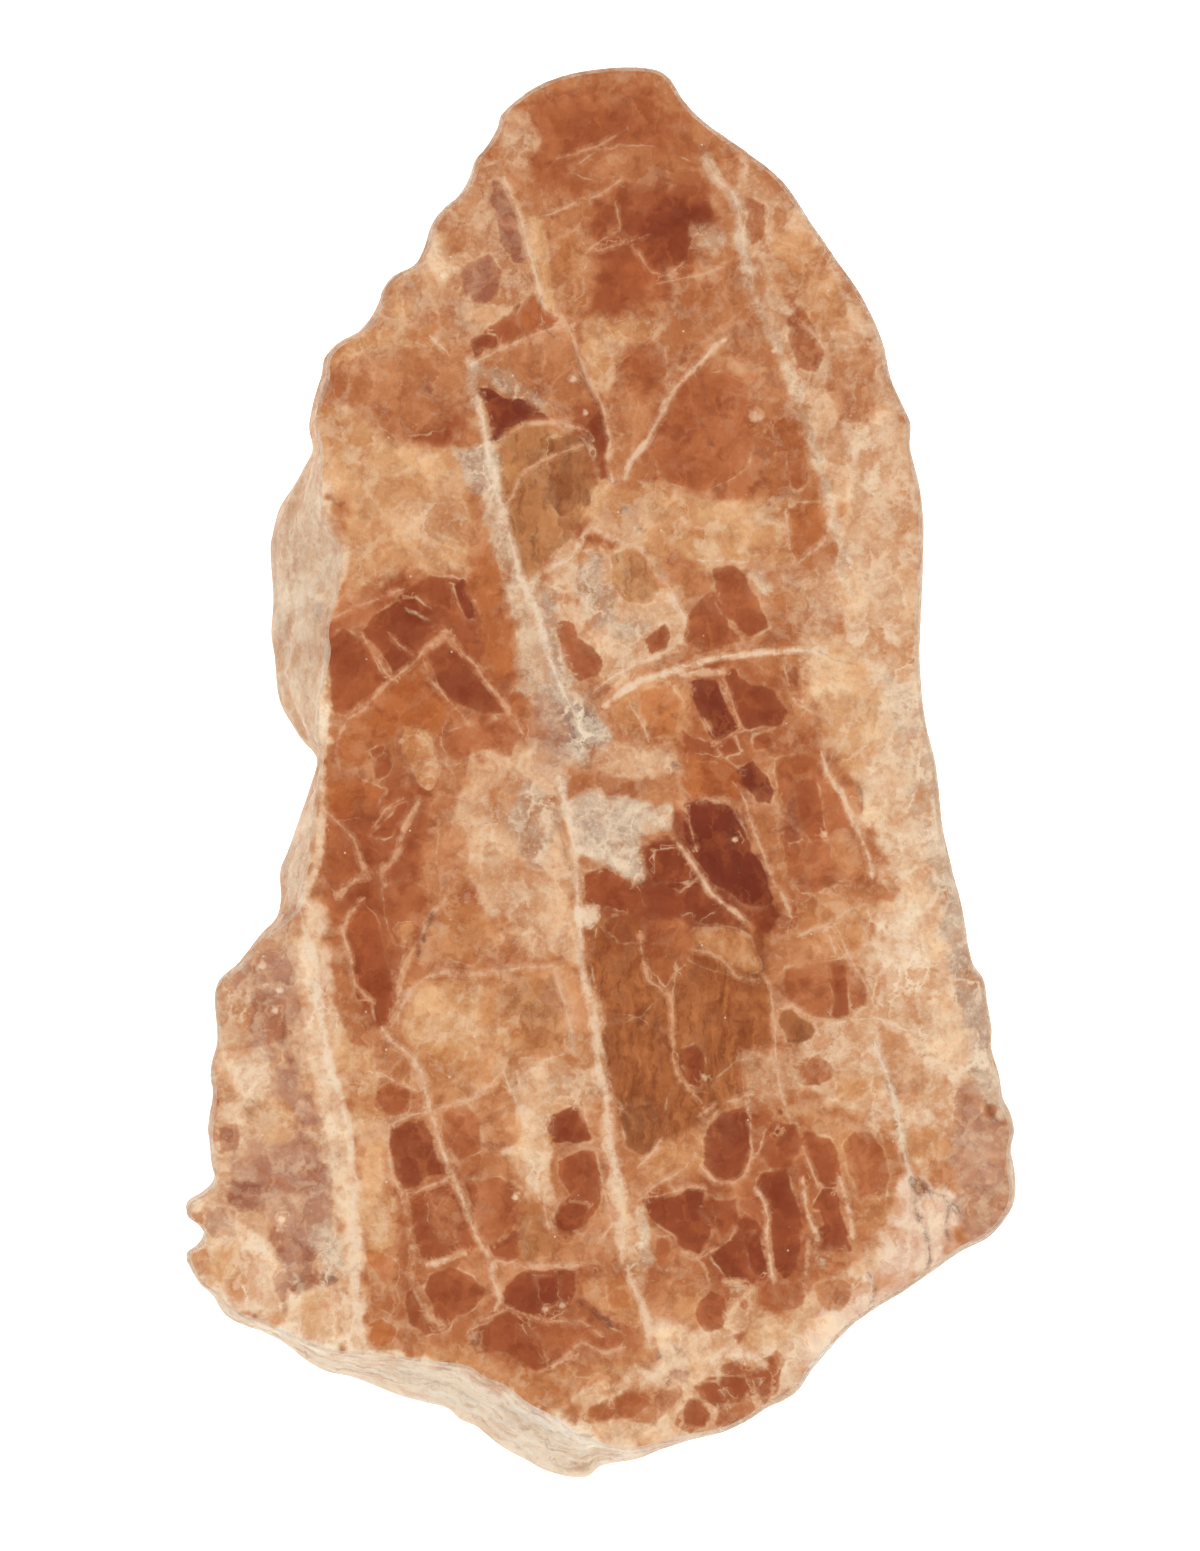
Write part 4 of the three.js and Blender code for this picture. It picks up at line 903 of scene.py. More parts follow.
# %% Fine pale lines: half width in pixels, brightness, line
FINE_LINES = [
    (1.8, 0.9, [(505, 180), (520, 215), (525, 235), (530, 255), (537, 280), (541, 300), (548, 312),
        (560, 318), (570, 330), (577, 350), (585, 372), (593, 388), (600, 400), (605, 415), (610, 440),
        (608, 460), (612, 478)]),
    (2.6, 0.95, [(478, 400), (485, 430), (487, 450), (495, 480), (505, 520), (520, 575), (535, 610),
        (545, 640), (550, 660)]),
    (1.6, 0.8, [(550, 660), (560, 685), (575, 715)]),
    (2.4, 0.9, MIDDLE_VEIN + BELLY_VEIN[1:] + [(622, 1220), (620, 1240), (622, 1260), (630, 1280),
        (640, 1300), (645, 1315), (648, 1330), (650, 1345)]),
    (2.4, 0.9, LOBE_VEIN + [(352, 1215), (352, 1240), (353, 1270), (355, 1300), (362, 1340)]),
    (2.0, 0.9, FOOT_VEIN),
    (1.6, 0.7, [(725, 340), (705, 358), (690, 372), (675, 388), (662, 412), (648, 440), (630, 462),
        (625, 478)]),
    (2.8, 1.0, ARC),
    (1.4, 0.8, [(473, 363), (500, 350), (520, 340), (545, 330), (572, 325)]),
    (1.2, 0.7, [(525, 220), (550, 215), (570, 205), (600, 195), (620, 180)]),
    (1.2, 0.7, [(560, 158), (600, 145), (625, 130)]),
    (1.0, 0.7, [(588, 250), (605, 238), (620, 230)]),
    (1.0, 0.7, [(600, 250), (625, 243), (648, 235)]),
    (1.0, 0.6, [(660, 283), (700, 275), (720, 268)]),
    (1.0, 0.7, [(500, 440), (515, 430), (525, 425)]),
    (1.6, 0.8, [(500, 520), (513, 495), (520, 478), (532, 466), (548, 458), (560, 453), (580, 446)]),
    (1.6, 0.85, [(527, 597), (540, 575), (555, 565), (570, 560), (577, 548), (583, 535), (592, 527),
        (605, 535), (625, 543), (640, 548), (648, 560), (655, 575), (668, 585), (675, 600), (685, 620)]),
    (1.8, 0.9, [(700, 560), (745, 562)]),
    (1.0, 0.6, [(665, 350), (668, 370), (665, 385), (672, 395)]),
    (1.2, 0.7, [(800, 320), (812, 332), (822, 345)]),
    (1.2, 0.7, [(320, 625), (345, 612), (375, 600), (400, 590)]),
    (1.2, 0.8, [(362, 635), (375, 655), (385, 672), (395, 680)]),
    (1.6, 0.85, [(340, 735), (347, 720), (365, 708), (377, 695), (390, 680), (405, 670), (418, 658),
        (425, 648), (440, 640), (450, 632)]),
    (1.2, 0.7, [(390, 635), (400, 645), (415, 658)]),
    (1.2, 0.7, [(425, 665), (430, 680), (440, 690), (450, 702), (460, 712), (470, 725)]),
    (1.4, 0.8, [(445, 628), (460, 650), (475, 665), (485, 680), (497, 695), (505, 705), (515, 720),
        (520, 730)]),
    (1.2, 0.8, [(328, 812), (340, 825), (355, 840), (360, 860), (370, 875)]),
    (1.2, 0.8, [(400, 800), (385, 810), (375, 825)]),
    (1.6, 0.8, [(398, 1020), (403, 1005), (412, 990), (425, 978), (440, 972), (475, 975), (520, 968),
        (560, 965)]),
    (1.2, 0.8, [(372, 1072), (385, 1075), (400, 1085), (415, 1090)]),
    (1.8, 0.85, [(395, 1122), (410, 1115), (425, 1112), (440, 1108), (460, 1103), (475, 1098), (490, 1085),
        (503, 1070)]),
    (1.4, 0.8, [(503, 1070), (510, 1090), (520, 1110)]),
    (1.2, 0.7, [(555, 975), (562, 995), (568, 1015), (572, 1035), (573, 1050)]),
    (1.4, 0.7, [(525, 1058), (545, 1060), (560, 1055), (573, 1050)]),
    (1.4, 0.8, [(405, 1200), (420, 1190), (445, 1180), (452, 1178)]),
    (1.4, 0.8, [(595, 690), (615, 675), (635, 665), (650, 660), (665, 652)]),
    (1.2, 0.8, [(630, 705), (640, 720), (648, 738)]),
    (1.2, 0.8, [(705, 720), (712, 735), (720, 755)]),
    (1.2, 0.7, [(728, 690), (740, 725)]),
    (1.2, 0.8, [(715, 745), (730, 735), (745, 730)]),
    (1.4, 0.8, [(735, 785), (745, 800), (750, 820), (760, 845), (768, 868), (775, 885), (785, 900),
        (790, 915)]),
    (1.6, 0.85, DARK_PANE_VEIN),
    (1.4, 0.85, [(640, 935), (643, 960), (648, 980), (660, 988), (670, 995), (672, 1015), (673, 1060),
        (680, 1080), (690, 1090), (700, 1100)]),
    (1.2, 0.8, [(692, 950), (710, 952), (725, 962), (735, 975), (755, 982)]),
    (1.4, 0.8, [(640, 1165), (655, 1150), (660, 1140)]),
    (1.4, 0.8, [(700, 1115), (715, 1105), (735, 1100), (750, 1095)]),
    (1.4, 0.8, [(640, 1200), (655, 1185), (670, 1178), (685, 1168), (695, 1155)]),
    (1.2, 0.7, [(765, 975), (772, 1000), (775, 1030), (775, 1050), (780, 1090), (790, 1120)]),
    (1.4, 0.8, [(800, 1010), (815, 1020), (830, 1025), (850, 1020), (875, 1018), (890, 1022), (905, 1030),
        (925, 1035)]),
    (1.2, 0.8, [(838, 930), (848, 955), (860, 975), (868, 990)]),
    (1.2, 0.8, [(825, 925), (850, 910)]),
    (1.2, 0.8, [(825, 925), (800, 935)]),
    (1.2, 0.8, [(825, 925), (835, 950)]),
    (1.8, 0.9, SAIL_EDGE),
    (1.4, 0.8, [(803, 1150), (812, 1170), (818, 1185)]),
    (2.2, 1.0, [(430, 1265), (445, 1260)]),
    (1.6, 0.8, [(490, 1260), (505, 1262), (520, 1268), (540, 1265), (560, 1266), (575, 1266)]),
    (1.4, 0.8, [(530, 1180), (545, 1210), (548, 1225)]),
    (1.8, 0.9, [(555, 1365), (565, 1360), (575, 1355)]),
    (2.0, 0.9, [(735, 1352), (750, 1357), (765, 1366)]),
    (1.6, 0.95, [(725, 1282), (745, 1282)]),
    (1.6, 0.9, FIRST_BAR),
    (1.8, 0.9, SECOND_BAR),
    (1.8, 0.9, THIRD_BAR),
    (1.4, 0.8, [(432, 338), (440, 345), (447, 352)]),
    (1.4, 0.8, [(500, 348), (515, 345), (525, 337)]),
    (1.4, 0.8, [(358, 1240), (360, 1270), (357, 1300), (360, 1350)]),
    (1.4, 0.8, RIGHT_CORNER_VEIN),
    (1.2, 0.7, [(705, 160), (718, 180), (735, 195), (742, 230), (745, 260)]),
    (1.2, 0.7, [(515, 1310), (548, 1322), (580, 1320), (600, 1335)]),
    (1.2, 0.7, [(470, 1330), (478, 1322), (495, 1315), (508, 1308)]),
    (1.4, 0.8, [(585, 430), (565, 425), (552, 422), (525, 424)]),
    (1.4, 0.8, [(362, 900), (352, 912), (342, 930), (350, 955), (355, 985), (372, 1002)]),
    (1.2, 0.8, [(683, 803), (690, 825), (696, 848)]),
    (1.2, 0.7, [(683, 802), (705, 799), (729, 802)]),
    (1.4, 0.8, [(745, 1100), (750, 1120), (752, 1150), (747, 1172), (737, 1183), (716, 1182), (702, 1168)]),
    (1.2, 0.8, [(784, 1008), (792, 1006), (812, 1018), (818, 1032)]),
    (1.2, 0.8, [(645, 1198), (660, 1196), (690, 1186), (703, 1188)]),
    (1.2, 0.8, [(735, 1228), (730, 1240), (711, 1252), (700, 1258), (684, 1252)]),
    (1.2, 0.8, [(548, 1125), (552, 1114), (565, 1107), (579, 1104), (586, 1120)]),
    (1.2, 0.8, [(500, 1262), (512, 1262), (528, 1268)]),
    (1.2, 0.8, [(600, 1240), (612, 1225), (606, 1200), (602, 1180)]),
    (1.2, 0.8, [(566, 1355), (582, 1342), (606, 1354), (622, 1348)]),
    (1.2, 0.8, [(390, 1120), (388, 1150), (393, 1178), (402, 1192)]),
    (1.2, 0.8, [(786, 515), (790, 548), (796, 564), (812, 552), (824, 542), (832, 518)]),
    (1.2, 0.8, [(780, 652), (788, 680), (796, 704), (812, 712)]),
    (1.2, 0.7, [(616, 205), (622, 235), (640, 255), (650, 272), (668, 276), (684, 262)]),
]
print(len(FINE_LINES), "fine pale lines")

# %% Dark cracks, and lines of painted shade along the rim: half width in pixels, strength, line
CRACKS_AND_RIM_SHADE = [
    (1.8, 0.8, [(432, 915), (425, 935), (418, 955)]),
    (2.4, 0.8, [(580, 1303), (590, 1310), (600, 1318), (610, 1325)]),
    (2.0, 0.8, [(912, 1180), (915, 1200), (918, 1215), (925, 1230), (930, 1250), (930, 1265)]),
    (1.6, 0.8, [(915, 1180), (925, 1188), (935, 1195), (945, 1197), (950, 1203), (958, 1207), (962, 1217)]),
    (1.6, 0.7, [(950, 1203), (948, 1215), (945, 1228), (950, 1240)]),
    (1.6, 0.7, [(870, 1275), (875, 1290), (872, 1300)]),
    (2.0, 0.7, [(985, 1100), (990, 1110), (995, 1120)]),
    # painted shade: a dark line just inside the ground lower right edge, where the rounded rim falls into
    # shade
    (1.0, 0.6, [(775, 1398), (795, 1386), (815, 1362), (835, 1340), (860, 1318), (900, 1290), (940, 1264),
        (975, 1243), (1000, 1222)]),
    (1.2, 0.6, [(541, 300), (538, 320), (552, 336), (572, 345), (588, 388), (598, 408), (604, 432)]),
    (1.0, 0.5, [(700, 372), (706, 395), (700, 420), (712, 445)]),
    (1.0, 0.5, [(655, 1010), (660, 1040), (662, 1070)]),
    (1.0, 0.5, [(618, 1090), (625, 1110), (630, 1140)]),
    (1.2, 0.5, [(555, 800), (562, 840), (570, 868)]),
    (1.0, 0.5, [(735, 815), (728, 840), (738, 870)]),
    (1.0, 0.5, [(820, 652), (835, 660), (850, 663)]),
    (1.4, 0.6, [(857, 780), (862, 796), (862, 812)]),
    (1.2, 0.5, [(285, 1010), (283, 1040), (290, 1060)]),
    (1.2, 0.5, [(250, 1098), (244, 1106), (250, 1114), (257, 1106), (250, 1098)]),
    (1.6, 0.6, [(925, 1185), (918, 1182), (914, 1192), (924, 1196)]),
    (1.0, 0.5, [(300, 1243), (310, 1256), (306, 1268)]),
    # painted shade: a dark line along the outer edge of the left wall, where the wall turns away into shade
    (1.4, 0.6, [(276, 512), (274, 560), (277, 610), (282, 640)]),
    (1.4, 0.5, [(500, 1406), (530, 1422), (556, 1432), (590, 1436)]),
    (1.2, 0.5, [(385, 1368), (415, 1375), (450, 1386), (480, 1404)]),
]
print(len(CRACKS_AND_RIM_SHADE), "dark cracks")

# %% Round specks and painted glints: tone, strength, x, y, radius in pixels
# The small milk specks are painted highlights where the polish glints, with some pale grains of the stone
# among them; the specks of other tones are the stone's own.
SPECKS_AND_GLINTS = [
    ("deep", 0.7, 780, 1112, 3), ("deep", 0.7, 778, 1132, 3), ("smoke", 0.8, 633, 1265, 4),
    ("smoke", 0.6, 313, 985, 3), ("smoke", 0.6, 338, 1155, 3), ("smoke", 0.6, 675, 1348, 4),
    ("smoke", 0.6, 660, 1355, 4), ("milk", 0.9, 775, 350, 3), ("milk", 0.9, 573, 380, 3),
    ("milk", 0.9, 585, 412, 3), ("milk", 0.9, 735, 840, 3), ("milk", 0.9, 825, 835, 3),
    ("milk", 0.9, 704, 1078, 3), ("milk", 0.9, 515, 1197, 3), ("milk", 0.9, 443, 275, 4),
    ("milk", 0.9, 262, 965, 4), ("milk", 0.9, 265, 985, 3), ("milk", 0.9, 280, 990, 3),
    ("milk", 0.9, 275, 1010, 3), ("milk", 0.9, 282, 1220, 4), ("milk", 0.9, 278, 1230, 3),
    ("milk", 0.9, 325, 1262, 3), ("milk", 0.9, 283, 1270, 3), ("milk", 0.8, 563, 1306, 3),
    ("milk", 0.8, 545, 1310, 3), ("milk", 0.9, 640, 1245, 4), ("milk", 0.9, 645, 1270, 4),
    ("frost", 0.9, 822, 1262, 4), ("rust", 0.8, 393, 1098, 15), ("blush", 0.7, 756, 415, 8),
    ("wine", 0.7, 744, 1305, 5), ("rust", 0.7, 740, 1338, 5), ("smoke", 0.6, 613, 480, 4),
    ("smoke", 0.6, 625, 510, 5), ("smoke", 0.5, 638, 530, 5), ("smoke", 0.6, 595, 810, 4),
    ("smoke", 0.7, 675, 765, 4), ("umber", 0.7, 920, 1186, 8), ("copper", 0.8, 320, 590, 5),
    ("umber", 0.6, 322, 610, 8), ("milk", 0.8, 195, 1205, 8), ("rust", 0.7, 990, 1110, 7),
    ("smoke", 0.5, 330, 1250, 5), ("smoke", 0.5, 340, 1262, 4),
]
print(len(SPECKS_AND_GLINTS), "round specks")

# %% Where each point of the skin lies in the picture
# pixels that the pattern shifts per mm below the widest line, so the back doesn't mirror the face exactly
UNDERSIDE_DRIFT = np.array([3.0, -2.0])
# longest waves, in mm, of the two sways that make traced edges uneven
RAGGED_SIZE, FRAYED_SIZE = 2.4, 0.9
CAMERA_MM = np.array([PICTURE_WIDTH / 2, -PICTURE_HEIGHT / 2]) * MM_PER_PIXEL - ORIGIN_MM


def to_picture(points):
    """Pinhole camera straight above: offsets from the axis grow as the point comes nearer to the camera."""
    nearer = (CAMERA_HEIGHT - WIDEST_HEIGHT) / (CAMERA_HEIGHT - points[:, 2:3])
    offset = (points[:, :2] - CAMERA_MM) * nearer / MM_PER_PIXEL
    return offset * [1, -1] + [PICTURE_WIDTH / 2, PICTURE_HEIGHT / 2]


below_rim = np.clip(WIDEST_HEIGHT - points_mm[:, 2], 0, None)
place = to_picture(points_mm) + below_rim[:, None] * UNDERSIDE_DRIFT
ragged = waves(points_mm, RAGGED_SIZE, seed=21, count=60)
frayed = waves(points_mm, FRAYED_SIZE, seed=22, count=60)
print("the stone covers picture pixels", place.min(0).round(), "to", place.max(0).round())

# %% [markdown]
# ## Laying the tones
# A polished face has soft passages and hard edges side by side: a cloud fades over millimetres, while a pane
# ends at once. So washes are blended straight into the points. For windows, bands and specks each point also
# keeps the distance to its nearest border and the tones on both sides of it. The shader draws the edge from
# these, much sharper than the mesh could.

# %% Lay the washes
TONE_ROWS = {name: np.array([r / 255, g / 255, b / 255, *rest]) for name, (r, g, b, *rest) in TONES.items()}
FAR = 12.0
WASH_MARGIN, WASH_SWAY, WASH_FRAY = 10, 4, 1.5
POINTS = len(points_mm)
resolved = np.tile(TONE_ROWS["copper"], (POINTS, 1))


def near(shape, margin):
    """Numbers of the skin points within a margin of a shape's box."""
    low_corner, high_corner = shape.min(0) - margin, shape.max(0) + margin
    return np.flatnonzero(((place > low_corner) & (place < high_corner)).all(1))


def smooth(t):
    """From 0 to 1 without a corner at either end: 3 t squared less 2 t cubed."""
    t = np.clip(t, 0, 1)
    return (t * t * (3 - 2 * t))[:, None]


for tone, softness, strength, corners in WASHES:
    shape = np.array(corners, float)
    where = near(shape, softness + WASH_MARGIN)
    reach = reach_inside(place[where], shape) + WASH_SWAY * ragged[where] + WASH_FRAY * frayed[where]
    weight = strength * smooth(reach / softness + 0.5)
    resolved[where] += weight * (TONE_ROWS[tone] - resolved[where])
print("mean tone in sRGB:", (255 * resolved[:, :3].mean(0)).round())

# %% Lay the windows, bands and specks, and keep their nearest border sharp
RIM_DEPTH, RIM_STRENGTH = 8.0, 0.75
PLAIN_SOFTNESS = 3.0
BAND_SWELLING = 0.25
SPECK_SOFTNESS = 3
FLUFFY = ("ash", "frost", "smoke")
# how much softer than traced an edge is, and by how many pixels it sways
FLUFFY_EDGE, CRISP_EDGE = (1.6, 3.0), (0.65, 0.9)
border_reach = np.full(POINTS, -FAR)
border_gap = np.full(POINTS, FAR)
border_soft = np.full(POINTS, PLAIN_SOFTNESS)
tone_in, tone_out = resolved.copy(), resolved.copy()


def lay(where, tone, reach, softness, strength):
    """Where this border is the nearest so far, it becomes the one that the shader draws: the old tone lies
    outside it and the new one inside. Elsewhere the points within it just take the tone."""
    row = TONE_ROWS[tone]
    strength = strength * (RIM_STRENGTH + (1 - RIM_STRENGTH) * np.clip(reach / RIM_DEPTH, 0, 1))[:, None]
    closer = np.abs(reach) < border_gap[where]
    new, old = where[closer], where[~closer]
    tone_out[new] = resolved[new]
    tone_in[new] = resolved[new] + strength[closer] * (row - resolved[new])
    border_reach[new], border_gap[new], border_soft[new] = reach[closer], np.abs(reach[closer]), softness
    weight = strength[~closer] * smooth(reach[~closer] / softness + 0.5)
    tone_in[old] += weight * (row - tone_in[old])
    tone_out[old] += weight * (row - tone_out[old])
    weight = strength * smooth(reach / softness + 0.5)
    resolved[where] += weight * (row - resolved[where])


PATCHES = NARROW_END_PATCHES + SHOULDER_PATCHES + MIDDLE_PATCHES
PATCHES += BELLY_PATCHES + FOOT_PATCHES + LOBE_PATCHES
for tone, softness, strength, corners in PATCHES:
    shape = np.array(corners, float)
    where = near(shape, FAR)
    softer, sway = FLUFFY_EDGE if tone in FLUFFY else CRISP_EDGE
    reach = reach_inside(place[where], shape) + sway * ragged[where]
    lay(where, tone, reach, softness * softer, strength)
for tone, softness, strength, half_width, line in BANDS:
    shape = np.array(line, float)
    where = near(shape, half_width + FAR)
    distance, _ = to_line(place[where], shape)
    swollen = half_width * (1 + BAND_SWELLING * ragged[where])
    lay(where, tone, swollen - distance, softness, strength)
for tone, strength, x, y, radius in SPECKS_AND_GLINTS:
    shape = np.array([[x, y]], float)
    where = near(shape, radius + FAR)
    reach = radius - np.linalg.norm(place[where] - shape, axis=1)
    lay(where, tone, reach, SPECK_SOFTNESS, strength)
print((border_gap < 3).sum(), "points within 3 pixels of a border")

# %% Nearest fine line and nearest dark line, a crack or a line of painted rim shade, at each point
def nearest_line(lines):
    """For each point of the skin: signed distance, plain distance, half width and strength of its line."""
    found = np.tile([FAR, FAR, 0.0, 0.0], (POINTS, 1))
    for half_width, strength, line in lines:
        shape = np.array(line, float)
        where = near(shape, FAR)
        distance, side = to_line(place[where], shape)
        closer = distance < found[where, 1]
        rows = where[closer]
        found[rows] = np.stack([
            side[closer] * distance[closer], distance[closer], np.full(len(rows), half_width),
            np.full(len(rows), strength),
        ], axis=1)
    return found


vein_lines = nearest_line(FINE_LINES)
crack_and_rim_shade_lines = nearest_line(CRACKS_AND_RIM_SHADE)
print((vein_lines[:, 1] < 3).sum(), "points near a fine line,", (crack_and_rim_shade_lines[:, 1] < 3).sum(), "near a crack")

# %% Store it all on the mesh
def keep(name, kind, key, values):
    """Store one value per point under a name."""
    layer = slice_mesh.attributes.new(name, kind, "POINT")
    layer.data.foreach_set(key, np.ascontiguousarray(values, np.float32).ravel())


def to_linear(srgb):
    """Linear light from sRGB, both from 0 to 1: a power of 2.4 with a short straight foot."""
    srgb = np.clip(srgb, 0, 1)
    return np.where(srgb > 0.04045, ((srgb + 0.055) / 1.055) ** 2.4, srgb / 12.92)


for name, layer in (("", resolved), ("_in", tone_in), ("_out", tone_out)):
    keep("tone" + name, "FLOAT_COLOR", "color", np.c_[to_linear(layer[:, :3]), np.ones(POINTS)])
    keep("kind" + name, "FLOAT_VECTOR", "vector", layer[:, 3:6])
keep("border", "FLOAT_VECTOR", "vector", np.stack([border_reach, border_gap, border_soft], axis=1))
for name, found in (("vein", vein_lines), ("crack_and_rim_shade", crack_and_rim_shade_lines)):
    keep(name, "FLOAT_VECTOR", "vector", found[:, :3])
    keep(name + "_strength", "FLOAT", "value", found[:, 3])
print([layer.name for layer in slice_mesh.attributes])

# %% [markdown]
# ## Finishes
# The face was ground and polished, so clear garnet shines and its inside shows: clouds, wisps and old healed
# cracks. Garnet's index of refraction is 1.74. The pale veins are softer, fine-grained stone that takes less
# polish. All three finishes are the same rock, so what they share is built once, as node groups.

# %% A small helper for node trees
def rgb(r, g, b):
    """An sRGB colour of 0 to 255 as the linear colour that a node takes."""
    return (*to_linear(np.array([r, g, b]) / 255), 1.0)


class Net:
    """Adds nodes to a tree. Inputs are given by name or number and may be numbers or other nodes' outputs."""

    def __init__(self, tree):
        self.tree = tree

    def put(self, kind, inputs=None, **settings):
        """A new node with its settings made and its inputs linked or set."""
        node = self.tree.nodes.new(kind)
        for name, value in settings.items():
            setattr(node, name, value)
        for key, value in (inputs or {}).items():
            if isinstance(value, bpy.types.NodeSocket):
                self.tree.links.new(value, node.inputs[key])
            else:
                node.inputs[key].default_value = value
        return node

    def math(self, operation, *values, clamp=False):
        """One sum on numbers, such as ADD or MULTIPLY."""
        node = self.put("ShaderNodeMath", dict(enumerate(values)), operation=operation, use_clamp=clamp)
        return node.outputs[0]

    def times(self, *values):
        """All values multiplied together."""
        total = values[0]
        for value in values[1:]:
            total = self.math("MULTIPLY", total, value)
        return total

    def vector(self, operation, *values):
        """One sum on vectors, part by part."""
        node = self.put("ShaderNodeVectorMath", dict(enumerate(values)), operation=operation)
        return node.outputs[0]

    def scaled(self, vector, factor):
        """A vector times one number."""
        node = self.put("ShaderNodeVectorMath", {0: vector, "Scale": factor}, operation="SCALE")
        return node.outputs[0]

    def noise(self, vector, scale, detail=3.0, roughness=0.55, output="Fac"):
        """Cloudy noise from 0 to 1, mostly near a half, with scale waves to the millimetre."""
        node = self.put("ShaderNodeTexNoise", {
            "Vector": vector, "Scale": scale, "Detail": detail, "Roughness": roughness,
        })
        return node.outputs[output]

    def cells(self, vector, scale, feature="F1"):
        """Voronoi cells: one random colour per cell, and the distance to its middle or to its edge."""
        return self.put("ShaderNodeTexVoronoi", {"Vector": vector, "Scale": scale}, feature=feature).outputs

    def red(self, colour):
        """The red part of a colour."""
        return self.put("ShaderNodeSeparateColor", {0: colour}).outputs[0]

    def step(self, value, start, end, to_start=0.0, to_end=1.0):
        """A smooth step: to_start where the value is at start or before, to_end from end on."""
        node = self.put("ShaderNodeMapRange", {
            "Value": value, "From Min": start, "From Max": end, "To Min": to_start, "To Max": to_end,
        }, interpolation_type="SMOOTHSTEP")
        return node.outputs[0]

    def mix(self, factor, a, b):
        """Colour a blended towards b. Inputs 6 and 7 are the Mix node's two colours."""
        node = self.put("ShaderNodeMix", {0: factor, 6: a, 7: b}, data_type="RGBA")
        return node.outputs[2]

    def tinge(self, colour, srgb, pattern, start, end, *shares):
        """The colour blended towards an sRGB one as the pattern steps from start to end, times the shares."""
        return self.mix(self.times(self.step(pattern, start, end), *shares), colour, rgb(*srgb))

    def mix_vector(self, factor, a, b):
        """Vector a blended towards b. Inputs 4 and 5 are the Mix node's two vectors."""
        node = self.put("ShaderNodeMix", {0: factor, 4: a, 5: b}, data_type="VECTOR")
        return node.outputs[1]

    def parts(self, vector):
        """The three parts of a vector."""
        return self.put("ShaderNodeSeparateXYZ", {0: vector}).outputs

    def attribute(self, name, output="Vector"):
        """What the mesh stores under a name."""
        return self.put("ShaderNodeAttribute", attribute_name=name).outputs[output]


def new_group(name, inputs, outputs):
    """An empty node group with named inputs and outputs. Returns its net, its inputs and its outputs."""
    tree = bpy.data.node_groups.new(name, "ShaderNodeTree")
    for label, kind in inputs:
        tree.interface.new_socket(label, in_out="INPUT", socket_type="NodeSocket" + kind)
    for label, kind in outputs:
        tree.interface.new_socket(label, in_out="OUTPUT", socket_type="NodeSocket" + kind)
    net = Net(tree)
    return net, net.put("NodeGroupInput").outputs, net.put("NodeGroupOutput").inputs


# %% [markdown]
# ## The rock in four groups
# The first group gives each point's place, with a slow wander that bends every pattern as growth does. The
# second and third turn the stored distances into ragged borders and lines. The fourth paints the rock. Plain
# noise could do that alone, but real garnet rock is broken into blocks. So the cells of a Voronoi pattern
# carry it, and noise adds the clouds, blotches, fibres and grains.

# %% Group: where a point is, in millimetres, with the wander of growth
net, _, out = new_group("stone place", [], [("Place", "Vector"), ("Wandering", "Vector")])
millimetres = net.scaled(net.put("ShaderNodeTexCoord").outputs["Object"], 1000.0)
sway = net.vector("SUBTRACT", net.noise(millimetres, 0.45, 3.0, output="Color"), (0.5, 0.5, 0.5))
shiver = net.vector("SUBTRACT", net.noise(millimetres, 2.4, 3.0, output="Color"), (0.5, 0.5, 0.5))
wandering = net.vector("ADD", millimetres, net.scaled(sway, 1.6))
wandering = net.vector("ADD", wandering, net.scaled(shiver, 0.6))
net.tree.links.new(millimetres, out["Place"])
net.tree.links.new(wandering, out["Wandering"])
stone_place = net.tree
print(stone_place.name, len(stone_place.nodes), "nodes")

# %% Group: sharp borders drawn from the stored distances
net, given, out = new_group(
    "block borders",
    [("Place", "Vector")],
    [("Tone", "Color"), ("Clear", "Float"), ("Grainy", "Float"), ("Fibrous", "Float"), ("Seam", "Float")],
)
border = net.parts(net.attribute("border"))
fray = net.math("SUBTRACT", net.noise(given["Place"], 1.6, 6.0, 0.62), 0.5)
fray_size = net.math("ADD", border[2], 5.0)
reach = net.math("ADD", border[0], net.times(fray, fray_size))
share = net.math("ADD", net.math("DIVIDE", reach, border[2]), 0.5)
within = net.step(share, 0.0, 1.0)
far = net.step(border[1], 3.6, 5.4)
kind_in, kind_out = net.attribute("kind_in"), net.attribute("kind_out")
tone = net.mix(within, net.attribute("tone_out", "Color"), net.attribute("tone_in", "Color"))
tone = net.mix(far, tone, net.attribute("tone", "Color"))
kind = net.mix_vector(within, kind_out, kind_in)
kind = net.parts(net.mix_vector(far, kind, net.attribute("kind")))
seam_width = net.step(net.noise(given["Place"], 0.8, 4.0, 0.6), 0.36, 0.68, 0.6, 3.4)
seam_reach = net.math("ABSOLUTE", net.math("ADD", reach, 1.6))
seam = net.math("SUBTRACT", 1.0, net.math("DIVIDE", seam_reach, seam_width), clamp=True)
seam = net.times(seam, net.math("SUBTRACT", 1.0, far))
seam = net.times(seam, net.step(net.noise(given["Place"], 0.6, 3.0), 0.42, 0.62))
halo = net.times(net.math("SUBTRACT", 1.0, within), net.step(border[1], 1.5, 9.0, 1.0, 0.0))
halo = net.times(halo, net.step(net.noise(given["Place"], 0.9, 4.0, 0.65), 0.40, 0.62, 0.1, 0.75))
open_side = net.math("SUBTRACT", 1.0, net.times(net.parts(kind_out)[0], 0.8))
seam = net.times(net.math("MAXIMUM", seam, net.times(halo, open_side)), net.parts(kind_in)[0])
net.tree.links.new(tone, out["Tone"])
for number, label in enumerate(("Clear", "Grainy", "Fibrous")):
    net.tree.links.new(kind[number], out[label])
net.tree.links.new(seam, out["Seam"])
block_borders = net.tree
print(block_borders.name, len(block_borders.nodes), "nodes")

